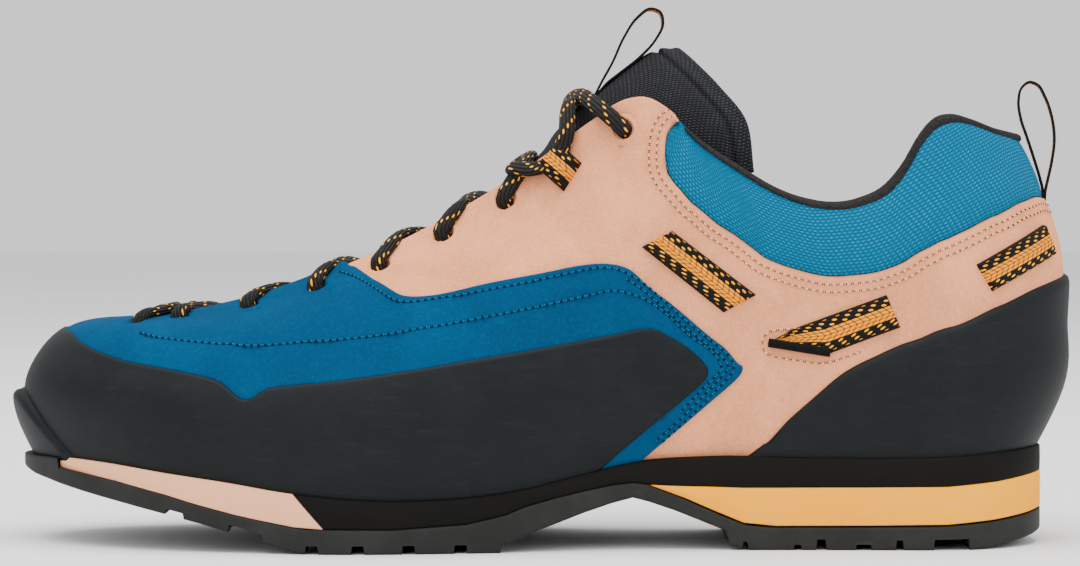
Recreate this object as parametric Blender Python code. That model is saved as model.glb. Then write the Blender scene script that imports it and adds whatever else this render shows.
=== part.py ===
"""Approach shoe, left foot, standing empty on its sole.

All lengths in the tables are millimetres; meshes are written in metres.
Toe towards -X, heel towards +X, outer (lateral) side towards -Y, up is +Z.
The upper is a function of two numbers: u runs round the foot (0 heel, 1 toe,
2 heel again by the inner side) and v runs from the sole edge (0) to the
top line (1). Every panel is taken from that one function.
"""
import math

import bmesh
import bpy
import numpy as np

MM = 0.001
GAP = 0.3
WALL = 2.4
COLLAR_PAD = 4.4
MESH_RECESS = 0.9
VAMP_THICK = 1.0
RAND_THICK = 1.7
COUNTER_THICK = 1.7
STRAP_THICK = 1.1
BUMPER_IN = 2.3
BUMPER_OUT = 5.1
BUMPER_EDGE = 3.2
EYELET_RADIUS = 2.6
LACE_RADIUS = 2.3
LACE_ASIDE = 0.0095
TAPE_HALF = 5.0
TAPE_THICK = 1.0
HEEL_END = 0.14
TOE_START = 0.80
MEDIAL_SHIFT = 6.0

# level: x at heel, x at toe, heel rounding, toe rounding, toe fullness
LEVELS = [
    ("feather", 139.2, -139.5, 30.0, 50.0, 0.86),
    ("belly", 146.8, -145.0, 36.0, 54.0, 0.86),
    ("wall", 148.0, -142.8, 36.0, 52.0, 0.86),
    ("shoulder", 147.0, -131.0, 33.0, 42.0, 0.90),
    ("top", 134.6, -114.0, 27.0, 15.0, 1.00),
]
LEVEL_V = [0.0, 0.16, 0.42, 0.74, 1.0]

# u, centre line y, belly above feather, share of height at wall, at shoulder
STATION = np.array([
    [0.00, 0.0, 16.0, 0.24, 0.58],
    [0.14, 0.0, 15.0, 0.26, 0.60],
    [0.28, 0.0, 14.0, 0.30, 0.62],
    [0.42, 0.0, 14.0, 0.34, 0.70],
    [0.55, 0.5, 14.0, 0.40, 0.76],
    [0.68, 2.0, 14.0, 0.40, 0.80],
    [0.80, 5.0, 14.0, 0.44, 0.84],
    [0.90, 7.5, 13.0, 0.50, 0.90],
    [1.00, 9.0, 12.0, 0.55, 0.94],
])
# half widths at each station: feather, belly, wall, shoulder, top
LATERAL = np.array([
    [31.5, 33.5, 32.5, 28.0, 24.5],
    [32.5, 34.5, 33.5, 31.5, 28.5],
    [31.5, 34.5, 33.5, 32.5, 32.0],
    [33.5, 38.0, 36.5, 31.5, 23.0],
    [41.0, 46.0, 43.5, 31.0, 13.5],
    [46.8, 50.5, 47.5, 33.5, 9.5],
    [44.2, 47.5, 45.0, 34.5, 7.5],
    [40.5, 43.0, 41.0, 33.0, 6.5],
    [38.0, 40.0, 38.0, 31.0, 6.0],
])
MEDIAL = np.array([
    [30.5, 33.0, 32.0, 27.5, 24.5],
    [31.5, 34.0, 33.0, 31.0, 28.5],
    [28.5, 32.5, 32.5, 32.0, 32.0],
    [29.0, 34.5, 34.5, 31.0, 23.0],
    [36.5, 41.5, 39.5, 29.0, 13.5],
    [43.8, 47.0, 44.0, 30.5, 9.5],
    [40.2, 43.0, 40.5, 30.0, 7.5],
    [36.0, 38.5, 36.5, 28.0, 6.5],
    [33.0, 35.5, 34.0, 26.0, 6.0],
])
# x, z of the sole edge of the upper
FEATHER = np.array([
    [-139.0, 25.0], [-119.0, 23.8], [-103.0, 21.7], [-86.0, 19.4],
    [-68.0, 16.6], [-42.0, 14.6], [-26.0, 14.9], [-9.0, 16.6],
    [9.0, 20.6], [27.0, 24.6], [45.0, 25.8], [77.0, 25.5],
    [110.0, 25.7], [125.0, 26.6], [139.0, 27.6],
])
# x, z of the top line: throat, instep peak, dip under the ankle, heel peak
TOPLINE = np.array([
    [-114.0, 62.0], [-106.0, 63.0], [-98.0, 64.3], [-82.0, 68.0],
    [-55.0, 78.0], [-36.0, 86.5], [-17.0, 97.0], [1.0, 108.5],
    [14.0, 118.0], [24.0, 124.0], [30.0, 124.3], [35.0, 121.5],
    [43.0, 114.0], [55.0, 105.5], [66.0, 99.2], [77.0, 96.0],
    [88.0, 97.0], [95.5, 101.0], [100.0, 106.5], [104.0, 113.5],
    [108.0, 118.3], [113.5, 120.2], [119.5, 119.0], [126.0, 116.8],
    [133.0, 115.5],
])

# columns of the upper's grid on one side, heel to toe:
# u at the sole, u from the low panels up, v where the low panels end
# (heel counter, then rand), v of the blue panel's edge, v of the collar mesh edge
COLUMN = np.array([
    [0.000, 0.000, 0.635, 0.740, 0.846],
    [0.035, 0.035, 0.617, 0.740, 0.850],
    [0.070, 0.070, 0.580, 0.715, 0.830],
    [0.105, 0.105, 0.500, 0.650, 0.778],
    [0.140, 0.140, 0.428, 0.600, 0.735],
    [0.175, 0.175, 0.430, 0.620, 0.780],
    [0.210, 0.208, 0.365, 0.600, 0.771],
    [0.235, 0.228, 0.305, 0.550, 0.765],
    [0.262, 0.250, 0.195, 0.480, 0.747],
    [0.282, 0.270, 0.115, 0.420, 0.739],
    [0.300, 0.286, 0.045, 0.370, 0.728],
    [0.352, 0.304, 0.150, 0.330, 0.723],
    [0.4133, 0.3223, 0.270, 0.306, 0.737],
    [0.432, 0.338, 0.276, 0.342, 0.746],
    [0.4489, 0.3537, 0.281, 0.366, 0.742],
    [0.466, 0.3727, 0.317, 0.388, 0.748],
    [0.482, 0.3870, 0.345, 0.414, 0.780],
    [0.498, 0.4072, 0.367, 0.465, 0.985],
    [0.518, 0.4340, 0.369, 0.546, 0.988],
    [0.538, 0.4700, 0.378, 0.598, 0.990],
    [0.560, 0.5150, 0.389, 0.630, 0.990],
    [0.590, 0.5600, 0.400, 0.662, 0.990],
    [0.622, 0.6050, 0.411, 0.688, 0.990],
    [0.642, 0.6334, 0.416, 0.732, 0.990],
    [0.655, 0.6500, 0.417, 0.860, 0.990],
    [0.670, 0.6660, 0.417, 0.976, 0.990],
    [0.700, 0.7000, 0.411, 0.978, 0.990],
    [0.7397, 0.7397, 0.392, 0.978, 0.990],
    [0.7632, 0.7632, 0.319, 0.978, 0.990],
    [0.7900, 0.7900, 0.415, 0.978, 0.990],
    [0.8200, 0.8200, 0.458, 0.978, 0.990],
    [0.8600, 0.8600, 0.489, 0.978, 0.990],
    [0.8904, 0.8904, 0.539, 0.978, 0.990],
    [0.9200, 0.9200, 0.600, 0.978, 0.990],
    [0.9450, 0.9450, 0.650, 0.978, 0.990],
    [0.9720, 0.9720, 0.664, 0.978, 0.990],
    [1.0000, 1.0000, 0.667, 0.978, 0.990],
])
COUNTER_COLUMN = 10
VAMP_COLUMN = 12
RAND_COLUMN = 14
# how many bands of the grid lie below, between and above those three edges
LOW_BANDS, BLUE_BANDS, TAN_BANDS, MESH_BANDS = 4, 3, 2, 3

# eyelets of one side, toe to ankle: u, v, punched through the blue panel
EYELET = [
    (0.8289, 0.915, True),
    (0.7541, 0.930, True),
    (0.6934, 0.916, True),
    (0.6337, 0.928, False),
    (0.5751, 0.938, False),
    (0.5196, 0.938, False),
    (0.4760, 0.940, False),
    (0.4175, 0.932, False),
]
LOOP_EYELET = 6
# rise of each lace crossing above the edges of the throat, toe to ankle
LACE_LIFT = [0.6, 0.6, 0.8, 1.2, 1.6, 3.6, 10.4]

# straps seen from the side: x, z corners, front low corner first, clockwise
STRAP = {
    "strap_front": [(27.9, 83.4), (36.3, 87.8), (59.4, 70.2), (50.4, 65.4)],
    "strap_mid": [(63.2, 57.0), (69.6, 60.9), (95.3, 70.2), (99.1, 61.3), (79.6, 54.1)],
    "strap_rear": [(120.0, 78.5), (140.3, 89.4), (143.7, 81.0), (124.5, 71.1)],
    "lace_loop": [(-0.6, 105.0), (5.9, 111.7), (11.6, 106.5), (6.6, 98.6)],
}
# outline of the toe bumper seen from the side: x, z
BUMPER = [
    (-160.0, 24.9), (-160.0, 42.0), (-147.6, 41.6), (-144.0, 38.0),
    (-140.4, 31.6), (-136.6, 27.6), (-132.8, 24.9),
]

# lower tongue, lying under the throat: u, depth below the upper's outside,
# rise of its middle, thickness
TONGUE_LOW = np.array([
    [0.930, 6.0, 0.0, 2.2],
    [0.900, 3.4, 0.0, 2.4],
    [0.860, 3.2, 0.2, 2.8],
    [0.810, 3.2, 0.6, 3.2],
    [0.755, 3.2, 0.8, 3.6],
    [0.700, 3.2, 1.0, 4.0],
    [0.640, 3.2, 1.2, 4.2],
    [0.580, 3.2, 1.6, 4.6],
    [0.530, 3.2, 2.4, 5.0],
    [0.490, 3.4, 4.2, 5.4],
])
TONGUE_V = [0.80, 0.86, 0.93, 0.995]
# upper tongue: ridge x, ridge z, half width, depth of the arch, thickness,
# lean of the section from upright in degrees, tuck of its lower corners
TONGUE_HIGH = np.array([
    [5.0, 115.6, 18.6, 22.0, 5.6, 44.5, 0.0],
    [14.0, 124.4, 20.4, 28.5, 6.2, 43.5, 0.1],
    [22.0, 131.2, 22.0, 33.5, 6.8, 42.0, 0.3],
    [29.0, 136.4, 23.4, 37.0, 7.2, 41.0, 0.6],
    [34.6, 139.6, 24.4, 38.8, 7.0, 40.0, 1.0],
    [37.0, 140.5, 24.6, 39.0, 5.0, 39.5, 1.0],
])

# pull loops: x, z along the tape, first strand up, second strand down
HEEL_LOOP = [
    (142.2, 98.6), (140.6, 104.0), (138.0, 111.4), (135.9, 119.9), (136.3, 125.4),
    (138.0, 128.2), (140.2, 129.2), (142.6, 127.8), (144.6, 123.6), (145.9, 118.0),
    (146.2, 112.0), (145.4, 106.2), (144.4, 101.6), (143.7, 98.7),
]
TONGUE_LOOP = [
    (18.2, 130.6), (19.8, 133.6), (22.4, 138.6), (25.4, 144.2), (28.2, 148.6),
    (31.4, 150.6), (34.2, 149.6), (34.9, 146.4), (32.8, 142.4), (28.4, 138.4),
    (23.8, 134.6), (21.0, 132.2),
]

# u, reach of the outsole beyond the feather edge, reach of the slabs above it
SOLE_REACH = np.array([
    [0.00, 2.6, 2.6],
    [0.14, 2.8, 2.8],
    [0.45, 2.6, 2.6],
    [0.65, 3.0, 3.0],
    [0.86, 3.0, 3.0],
    [0.94, 5.0, 3.0],
    [1.00, 8.3, 3.0],
])
# x, underside z, outsole top z
OUTSOLE = np.array([
    [-148.0, 21.4, 24.3], [-146.5, 20.7, 24.3], [-142.5, 19.3, 24.3], [-137.6, 18.2, 24.4],
    [-134.8, 17.5, 24.2], [-134.4, 17.4, 21.7], [-127.0, 15.7, 20.6], [-117.0, 13.5, 19.0],
    [-103.0, 10.4, 15.8], [-93.0, 8.0, 13.0], [-83.0, 5.2, 10.5], [-70.0, 1.6, 7.9],
    [-63.5, 0.0, 6.9], [-40.0, 0.0, 6.7], [-20.0, 0.0, 8.0], [-11.0, 0.0, 10.0],
    [-9.5, 1.8, 10.4], [-4.0, 4.6, 12.6], [4.0, 7.6, 14.8], [12.0, 10.6, 16.6],
    [20.0, 13.2, 18.2], [25.5, 14.6, 18.8], [30.0, 13.4, 18.2], [37.0, 11.0, 15.4],
    [45.0, 7.8, 11.8], [51.0, 5.4, 9.2], [52.4, 1.4, 8.6], [57.0, 0.0, 6.9],
    [65.0, 0.0, 6.3], [90.0, 0.0, 6.4], [110.0, 0.0, 6.6], [120.0, 0.2, 7.2],
    [130.0, 1.4, 8.2], [137.0, 2.8, 9.2], [142.0, 4.2, 10.0],
])
# x, underside z, top z of the yellow heel wedge
HEEL_WEDGE = np.array([
    [35.5, 16.3, 17.8], [40.0, 14.4, 17.7], [48.0, 10.9, 17.5], [56.0, 7.6, 17.2],
    [65.0, 6.7, 17.2], [90.0, 6.8, 17.3], [112.0, 7.1, 17.5], [126.0, 8.2, 18.6],
    [136.0, 9.5, 19.9], [141.8, 10.4, 20.6],
])
# grooves of the tread: x0, x1, y0, y1, depth
GROOVE = [
    (-63.6, -60.4, -60.0, 60.0, 2.4),
    (-51.1, -47.9, -60.0, 60.0, 2.4),
    (-37.3, -34.1, -60.0, 60.0, 2.4),
    (-23.2, -20.0, -60.0, 60.0, 2.4),
    (-75.0, -14.0, -18.0, -14.6, 2.0),
    (-75.0, -14.0, 13.6, 17.0, 2.0),
    (76.2, 78.6, -60.0, 60.0, 3.0),
    (87.0, 91.0, -60.0, 60.0, 1.6),
    (98.0, 99.8, -60.0, 60.0, 2.8),
    (108.4, 118.0, -60.0, 60.0, 3.0),
    (70.0, 124.0, -2.4, 2.4, 2.2),
]

# slot: base colour, roughness, metallic
FINISH = {
    "tan_suede": ((0.730, 0.458, 0.328), 0.92, 0.0),
    "blue_suede": ((0.006, 0.150, 0.290), 0.90, 0.0),
    "rubber": ((0.022, 0.025, 0.028), 0.62, 0.0),
    "outsole_rubber": ((0.045, 0.054, 0.060), 0.60, 0.0),
    "foam_black": ((0.010, 0.009, 0.008), 0.85, 0.0),
    "foam_yellow": ((0.955, 0.520, 0.030), 0.70, 0.0),
    "foam_tan": ((0.730, 0.470, 0.350), 0.80, 0.0),
    "tongue_mesh": ((0.016, 0.016, 0.018), 0.90, 0.0),
    "insole_felt": ((0.030, 0.030, 0.033), 0.95, 0.0),
    "lace_cord": ((0.012, 0.011, 0.010), 0.80, 0.0),
    "webbing": ((0.700, 0.300, 0.020), 0.80, 0.0),
    "tape": ((0.020, 0.018, 0.016), 0.80, 0.0),
}


def curve(t, xs, ys):
    """Smooth curve through a table, held at its ends."""
    xs = np.asarray(xs, float)
    ys = np.asarray(ys, float)
    step = np.diff(xs)
    rate = np.diff(ys) / step
    slope = np.empty(len(xs))
    slope[0] = rate[0]
    slope[-1] = rate[-1]
    share = step[:-1] / (step[:-1] + step[1:])
    slope[1:-1] = rate[:-1] * (1 - share) + rate[1:] * share
    t = np.clip(t, xs[0], xs[-1])
    i = np.clip(np.searchsorted(xs, t, side="right") - 1, 0, len(xs) - 2)
    s = (t - xs[i]) / step[i]
    low = (2 * s**3 - 3 * s**2 + 1) * ys[i] + (s**3 - 2 * s**2 + s) * step[i] * slope[i]
    high = (-2 * s**3 + 3 * s**2) * ys[i + 1] + (s**3 - s**2) * step[i] * slope[i + 1]
    return low + high


def blend(v):
    """Weights of the five levels at height v, from a natural cubic spline."""
    knots = np.array(LEVEL_V)
    n = len(knots)
    h = np.diff(knots)
    left = np.eye(n)
    right = np.zeros((n, n))
    for i in range(1, n - 1):
        left[i, i - 1:i + 2] = h[i - 1], 2 * (h[i - 1] + h[i]), h[i]
        right[i, i - 1:i + 2] = 6 / h[i - 1], -6 / h[i - 1] - 6 / h[i], 6 / h[i]
    bend = np.linalg.solve(left, right)
    i = np.clip(np.searchsorted(knots, v, side="right") - 1, 0, n - 2)
    a = (knots[i + 1] - v) / h[i]
    b = (v - knots[i]) / h[i]
    unit = np.eye(n)
    cubic_a = ((a**3 - a) * h[i]**2 / 6)[..., None] * bend[i]
    cubic_b = ((b**3 - b) * h[i]**2 / 6)[..., None] * bend[i + 1]
    return a[..., None] * unit[i] + b[..., None] * unit[i + 1] + cubic_a + cubic_b


def level_xy(k, u):
    """Plan curve of one level: x and y at u."""
    side = np.where(u <= 1, -1.0, 1.0)
    w = np.where(u <= 1, u, 2 - u)
    _, x_heel, x_toe, r_heel, r_toe, full = LEVELS[k]
    at_heel = np.clip(w / HEEL_END, 0, 1) * math.pi / 2
    at_toe = np.clip((1 - w) / (1 - TOE_START), 0, 1) * math.pi / 2
    mid = (w - HEEL_END) / (TOE_START - HEEL_END)
    x_side = (x_heel - r_heel) * (1 - mid) + (x_toe + r_toe) * mid
    x = np.where(w < HEEL_END, x_heel - r_heel * (1 - np.cos(at_heel)), x_side)
    x = np.where(w > TOE_START, x_toe + r_toe * (1 - np.cos(at_toe)), x)
    close = np.where(w < HEEL_END, np.sin(at_heel)**0.94, 1.0)
    close = np.where(w > TOE_START, np.sin(at_toe)**full, close)
    lateral = curve(w, STATION[:, 0], LATERAL[:, k])
    medial = curve(w, STATION[:, 0], MEDIAL[:, k])
    half = np.where(side < 0, lateral, medial)
    return x, curve(w, STATION[:, 0], STATION[:, 1]) + side * half * close


def feather_z(x):
    return curve(x, FEATHER[:, 0], FEATHER[:, 1])


def surface(u, v):
    """Outside of the upper at u, v, as an array of points."""
    u, v = np.broadcast_arrays(np.mod(np.asarray(u, float), 2), np.asarray(v, float))
    w = np.where(u <= 1, u, 2 - u)
    plan = [level_xy(k, u) for k in range(len(LEVELS))]
    low = feather_z(plan[0][0])
    belly = low + curve(w, STATION[:, 0], STATION[:, 2])
    top_x = plan[-1][0]
    ease = np.clip((top_x - 45) / 35, 0, 1) * np.clip((130 - top_x) / 22, 0, 1)
    back = np.where(u > 1, MEDIAL_SHIFT * ease, 0.0)
    top = curve(top_x - back, TOPLINE[:, 0], TOPLINE[:, 1])
    wall = belly + curve(w, STATION[:, 0], STATION[:, 3]) * (top - belly)
    shoulder = belly + curve(w, STATION[:, 0], STATION[:, 4]) * (top - belly)
    weight = blend(v)
    point = np.zeros(u.shape + (3,))
    for k, z in enumerate((low, belly, wall, shoulder, top)):
        point += weight[..., k, None] * np.stack([plan[k][0], plan[k][1], z], -1)
    return point


def outward(u, v):
    """Unit normal of the upper; level with the floor along the sole edge."""
    e = 1e-3
    across = surface(u + e, v) - surface(u - e, v)
    up = surface(u, np.clip(v + e, 0, 1)) - surface(u, np.clip(v - e, 0, 1))
    n = np.cross(across, up)
    centre = np.array([0.0, 2.0, 55.0])
    flip = np.sum(n * (surface(u, v) - centre) * [0.2, 1.0, 1.0], -1) < 0
    n = np.where(flip[..., None], -n, n)
    flat = np.clip(1 - v / 0.04, 0, 1)[..., None] * np.array([0.0, 0.0, 1.0])
    n = n - n * flat
    return n / np.linalg.norm(n, axis=-1, keepdims=True)


def full_columns():
    """The column table for both sides: once round the foot, heel to heel."""
    inner = COLUMN[-2:0:-1].copy()
    inner[:, 0:2] = 2 - inner[:, 0:2]
    return np.vstack([COLUMN, inner])


def upper_grid():
    """u and v of every node of the outside grid: columns by bands."""
    col = full_columns()
    parts_u = []
    parts_v = []
    for low, high, count in ((None, 2, LOW_BANDS), (2, 3, BLUE_BANDS), (3, 4, TAN_BANDS), (4, None, MESH_BANDS)):
        first = 0 if low is None else 1
        t = np.arange(first, count + 1) / count
        v_low = np.zeros(len(col)) if low is None else col[:, low]
        v_high = np.ones(len(col)) if high is None else col[:, high]
        parts_v.append(v_low[:, None] * (1 - t) + v_high[:, None] * t)
        u_low = col[:, 0] if low is None else col[:, 1]
        parts_u.append(u_low[:, None] * (1 - t) + col[:, 1][:, None] * t)
    return np.hstack(parts_u), np.hstack(parts_v)


def clear_scene():
    for item in list(bpy.data.objects):
        bpy.data.objects.remove(item, do_unlink=True)


def material(slot):
    found = bpy.data.materials.get(slot)
    if found:
        return found
    colour, rough, metal = FINISH[slot]
    made = bpy.data.materials.new(slot)
    made.use_nodes = True
    shader = made.node_tree.nodes["Principled BSDF"]
    shader.inputs["Base Color"].default_value = (*colour, 1.0)
    shader.inputs["Roughness"].default_value = rough
    shader.inputs["Metallic"].default_value = metal
    made.diffuse_color = (*colour, 1.0)
    return made


def face_out(shape):
    """Turn the faces over when the closed mesh is inside out."""
    if shape.calc_volume(signed=True) < 0:
        bmesh.ops.reverse_faces(shape, faces=shape.faces)


def put(name, points, faces, slot, keep=True):
    """Make one named solid from millimetre points, faces turned outward."""
    mesh = bpy.data.meshes.new(name)
    mesh.from_pydata([tuple(p) for p in np.asarray(points) * MM], [], faces)
    shape = bmesh.new()
    shape.from_mesh(mesh)
    bmesh.ops.recalc_face_normals(shape, faces=shape.faces)
    bmesh.ops.triangulate(shape, faces=[f for f in shape.faces if len(f.verts) > 3])
    face_out(shape)
    shape.to_mesh(mesh)
    shape.free()
    mesh.materials.append(material(slot))
    made = bpy.data.objects.new(name, mesh)
    bpy.context.scene.collection.objects.link(made)
    if not keep:
        made.hide_render = True
        made.display_type = "WIRE"
    return made


def cut(target, tool, how):
    """Boolean of one object with another; the tool is removed after."""
    step = target.modifiers.new("cut", "BOOLEAN")
    step.object = tool
    step.operation = how
    step.solver = "EXACT"
    graph = bpy.context.evaluated_depsgraph_get()
    mesh = bpy.data.meshes.new_from_object(target.evaluated_get(graph))
    target.modifiers.clear()
    target.data = mesh
    bpy.data.objects.remove(tool, do_unlink=True)
    tidy(target)


def tidy(target):
    """Drop stray slivers and leave triangles."""
    shape = bmesh.new()
    shape.from_mesh(target.data)
    bmesh.ops.remove_doubles(shape, verts=shape.verts, dist=0.00002)
    bmesh.ops.dissolve_degenerate(shape, edges=shape.edges, dist=0.00002)
    bmesh.ops.triangulate(shape, faces=[f for f in shape.faces if len(f.verts) > 3])
    bmesh.ops.recalc_face_normals(shape, faces=shape.faces)
    face_out(shape)
    shape.to_mesh(target.data)
    shape.free()


def quad(a, b, c, d):
    """Two triangles with the diagonal always from a to c."""
    return [(a, b, c), (a, c, d)]


def shell(outer, inner, cells, ring):
    """Closed shell of the marked cells between two grids of the same size.

    outer, inner: columns x rows x 3. cells: columns x (rows - 1) marks.
    ring: the last column joins the first.
    """
    n, m = outer.shape[:2]
    points = np.vstack([outer.reshape(-1, 3), inner.reshape(-1, 3)])
    faces = []
    edges = {}
    for i in range(n if ring else n - 1):
        for j in range(m - 1):
            if not cells[i, j]:
                continue
            k = (i + 1) % n
            corner = [i * m + j, k * m + j, k * m + j + 1, i * m + j + 1]
            faces += quad(*corner)
            faces += [tuple(x + n * m for x in reversed(t)) for t in quad(*corner)]
            for a, b in zip(corner, corner[1:] + corner[:1]):
                if (b, a) in edges:
                    del edges[(b, a)]
                else:
                    edges[(a, b)] = True
    for a, b in edges:
        faces += quad(b, a, a + n * m, b + n * m)
    used = sorted({x for f in faces for x in f})
    place = {x: i for i, x in enumerate(used)}
    return points[used], [tuple(place[x] for x in f) for f in faces]


def inset(grid, gap, low, high):
    """Draw the marked borders of a grid inwards by the gap, along its own lines."""
    grid = grid.copy()
    if low:
        grid[0] += (grid[1] - grid[0]) * (gap / np.linalg.norm(grid[1] - grid[0], axis=-1))[:, None]
    if high:
        grid[-1] += (grid[-2] - grid[-1]) * (gap / np.linalg.norm(grid[-2] - grid[-1], axis=-1))[:, None]
    return grid


def wall_thickness(u, v):
    """Wall of the upper: thin quarter, padded round the ankle."""
    w = np.where(u <= 1, u, 2 - u)
    round_ankle = np.clip((0.40 - w) / 0.07, 0, 1)
    high = np.clip((v - 0.52) / 0.22, 0, 1)
    top = np.clip((1.0 - v) / 0.08, 0, 1)
    ease = round_ankle * round_ankle * (3 - 2 * round_ankle) * high * high * (3 - 2 * high)
    return WALL + COLLAR_PAD * ease * (0.55 + 0.45 * top)


def build_upper():
    u, v = upper_grid()
    base = surface(u, v)
    n = outward(u, v)
    rows = u.shape[1]
    edge = LOW_BANDS + BLUE_BANDS + TAN_BANDS
    w = np.where(u[:, -1] <= 1, u[:, -1], 2 - u[:, -1])
    drop = MESH_RECESS * np.clip((0.41 - w) / 0.03, 0, 1)
    outer = base.copy()
    outer[:, edge + 1:] -= n[:, edge + 1:] * drop[:, None, None]
    step = base[:, edge] + (base[:, edge + 1] - base[:, edge]) * 0.06 - n[:, edge] * drop[:, None]
    outer = np.concatenate([outer[:, :edge + 1], step[:, None], outer[:, edge + 1:]], axis=1)
    inner_v = np.array([1.0, 0.90, 0.79, 0.64, 0.45, 0.24, 0.0])
    u_top = u[:, -1:]
    u_low = u[:, :1]
    share = np.clip(1 - inner_v / 0.45, 0, 1)[None, :]
    u_in = u_top * (1 - share) + u_low * share
    v_in = np.broadcast_to(inner_v, u_in.shape)
    thick = wall_thickness(u_in, v_in)
    inner = surface(u_in, v_in) - outward(u_in, v_in) * thick[..., None]
    rim_n = outward(u[:, -1], v[:, -1])
    rim_up = np.cross(rim_n, np.roll(base[:, -1], -1, 0) - np.roll(base[:, -1], 1, 0))
    rim_up /= np.linalg.norm(rim_up, axis=-1, keepdims=True)
    rim_up *= np.sign(np.sum(rim_up * (base[:, -1] - base[:, -3]), -1))[:, None]
    rim = (outer[:, -1] + inner[:, 0]) / 2 + rim_up * (0.22 * thick[:, 0])[:, None]
    ring = np.concatenate([outer, rim[:, None], inner], axis=1)
    count, rows = ring.shape[:2]
    points = ring.reshape(-1, 3)
    faces = []
    for i in range(count):
        k = (i + 1) % count
        for j in range(rows):
            l = (j + 1) % rows
            faces += quad(i * rows + j, k * rows + j, k * rows + l, i * rows + l)
    return put("upper", points, faces, "tan_suede")


def eyelet_frames():
    """Centre and normal of every eyelet on both sides."""
    frames = []
    for u, v, through in EYELET:
        for side_u in (u, 2 - u):
            p = surface(np.array([side_u]), np.array([v]))[0]
            n = outward(np.array([side_u]), np.array([v]))[0]
            frames.append((p, n, through))
    return frames


def rod(a, b, radius, count):
    """Points and faces of a straight rod from a to b."""
    a = np.asarray(a, float)
    b = np.asarray(b, float)
    axis = (b - a) / np.linalg.norm(b - a)
    side = np.cross(axis, [0.0, 0.3, 1.0])
    side /= np.linalg.norm(side)
    other = np.cross(axis, side)
    angle = (np.arange(count) + 0.5) * 2 * math.pi / count
    ring = radius * (np.cos(angle)[:, None] * side + np.sin(angle)[:, None] * other)
    points = np.vstack([a + ring, b + ring])
    faces = [tuple(range(count)), tuple(range(2 * count - 1, count - 1, -1))]
    faces += [(i, i + count, (i + 1) % count + count, (i + 1) % count) for i in range(count)]
    return points, faces


def merge(pieces):
    """Several closed pieces as one list of points and faces."""
    points = []
    faces = []
    for p, f in pieces:
        start = len(points)
        points += [tuple(x) for x in p]
        faces += [tuple(i + start for i in face) for face in f]
    return np.array(points), faces


def punch(target, frames):
    tools = [rod(p + n * 5.0, p - n * 7.0, EYELET_RADIUS, 10) for p, n, _ in frames]
    points, faces = merge(tools)
    cut(target, put("punch_tool", points, faces, "rubber", keep=False), "DIFFERENCE")


def panel(name, slot, cells, lo, hi, columns=None, rows=None, gap_ends=False, gap_top=False):
    """A panel lying on the upper: the marked cells, lo to hi above its surface."""
    u, v = upper_grid()
    if columns is not None:
        u = u[columns][:, rows]
        v = v[columns][:, rows]
    base = surface(u, v)
    n = outward(u, v)
    outer = base + n * hi
    inner = base + n * lo
    if gap_ends or gap_top:
        outer = inset(outer, GAP, gap_ends, gap_ends)
        inner = inset(inner, GAP, gap_ends, gap_ends)
        outer = inset(outer.transpose(1, 0, 2), GAP, False, gap_top).transpose(1, 0, 2)
        inner = inset(inner.transpose(1, 0, 2), GAP, False, gap_top).transpose(1, 0, 2)
    ring = columns is None
    points, faces = shell(outer, inner, cells, ring)
    return put(name, points, faces, slot)


def build_panels():
    half = len(COLUMN) - 1
    total = 2 * half
    last = 2 * half
    rows = slice(0, LOW_BANDS + 1)
    rand_columns = np.arange(RAND_COLUMN, last - RAND_COLUMN + 1)
    cells = np.ones((len(rand_columns), LOW_BANDS), bool)
    panel("rand", "rubber", cells, GAP, GAP + RAND_THICK, rand_columns, rows, True, True)
    counter_columns = np.arange(-COUNTER_COLUMN, COUNTER_COLUMN + 1) % total
    cells = np.ones((len(counter_columns), LOW_BANDS), bool)
    panel("heel_counter", "rubber", cells, GAP, GAP + COUNTER_THICK, counter_columns, rows)
    cells = np.zeros((total, LOW_BANDS + BLUE_BANDS + TAN_BANDS + MESH_BANDS), bool)
    cells[VAMP_COLUMN:last - VAMP_COLUMN, LOW_BANDS:LOW_BANDS + BLUE_BANDS] = True
    cells[VAMP_COLUMN:RAND_COLUMN, :LOW_BANDS] = True
    cells[last - RAND_COLUMN:last - VAMP_COLUMN, :LOW_BANDS] = True
    vamp = panel("vamp", "blue_suede", cells, GAP, GAP + VAMP_THICK)
    punch(vamp, [f for f in eyelet_frames() if f[2]])


def prism(outline, y0, y1):
    """Side-view outline carried from y0 to y1."""
    count = len(outline)
    points = [(x, y0, z) for x, z in outline] + [(x, y1, z) for x, z in outline]
    faces = [tuple(range(count)), tuple(range(2 * count - 1, count - 1, -1))]
    faces += [(i, i + count, (i + 1) % count + count, (i + 1) % count) for i in range(count)]
    return points, faces


def cut_panel(name, slot, outline, columns, rows, lo, hi, y0, y1):
    """A panel cut from a shell over the upper by a side-view outline.

    hi: height of its outside above the upper, one value or one for each column.
    """
    u, v = upper_grid()
    u = u[columns][:, rows]
    v = v[columns][:, rows]
    base = surface(u, v)
    n = outward(u, v)
    cells = np.ones((u.shape[0], u.shape[1] - 1), bool)
    top = np.broadcast_to(np.reshape(hi, (-1, 1, 1)), base.shape[:2] + (1,))
    points, faces = shell(base + n * top, base + n * lo, cells, False)
    made = put(name, points, faces, slot)
    points, faces = prism(outline, y0, y1)
    cut(made, put("outline_tool", points, faces, slot, keep=False), "INTERSECT")
    return made


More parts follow.
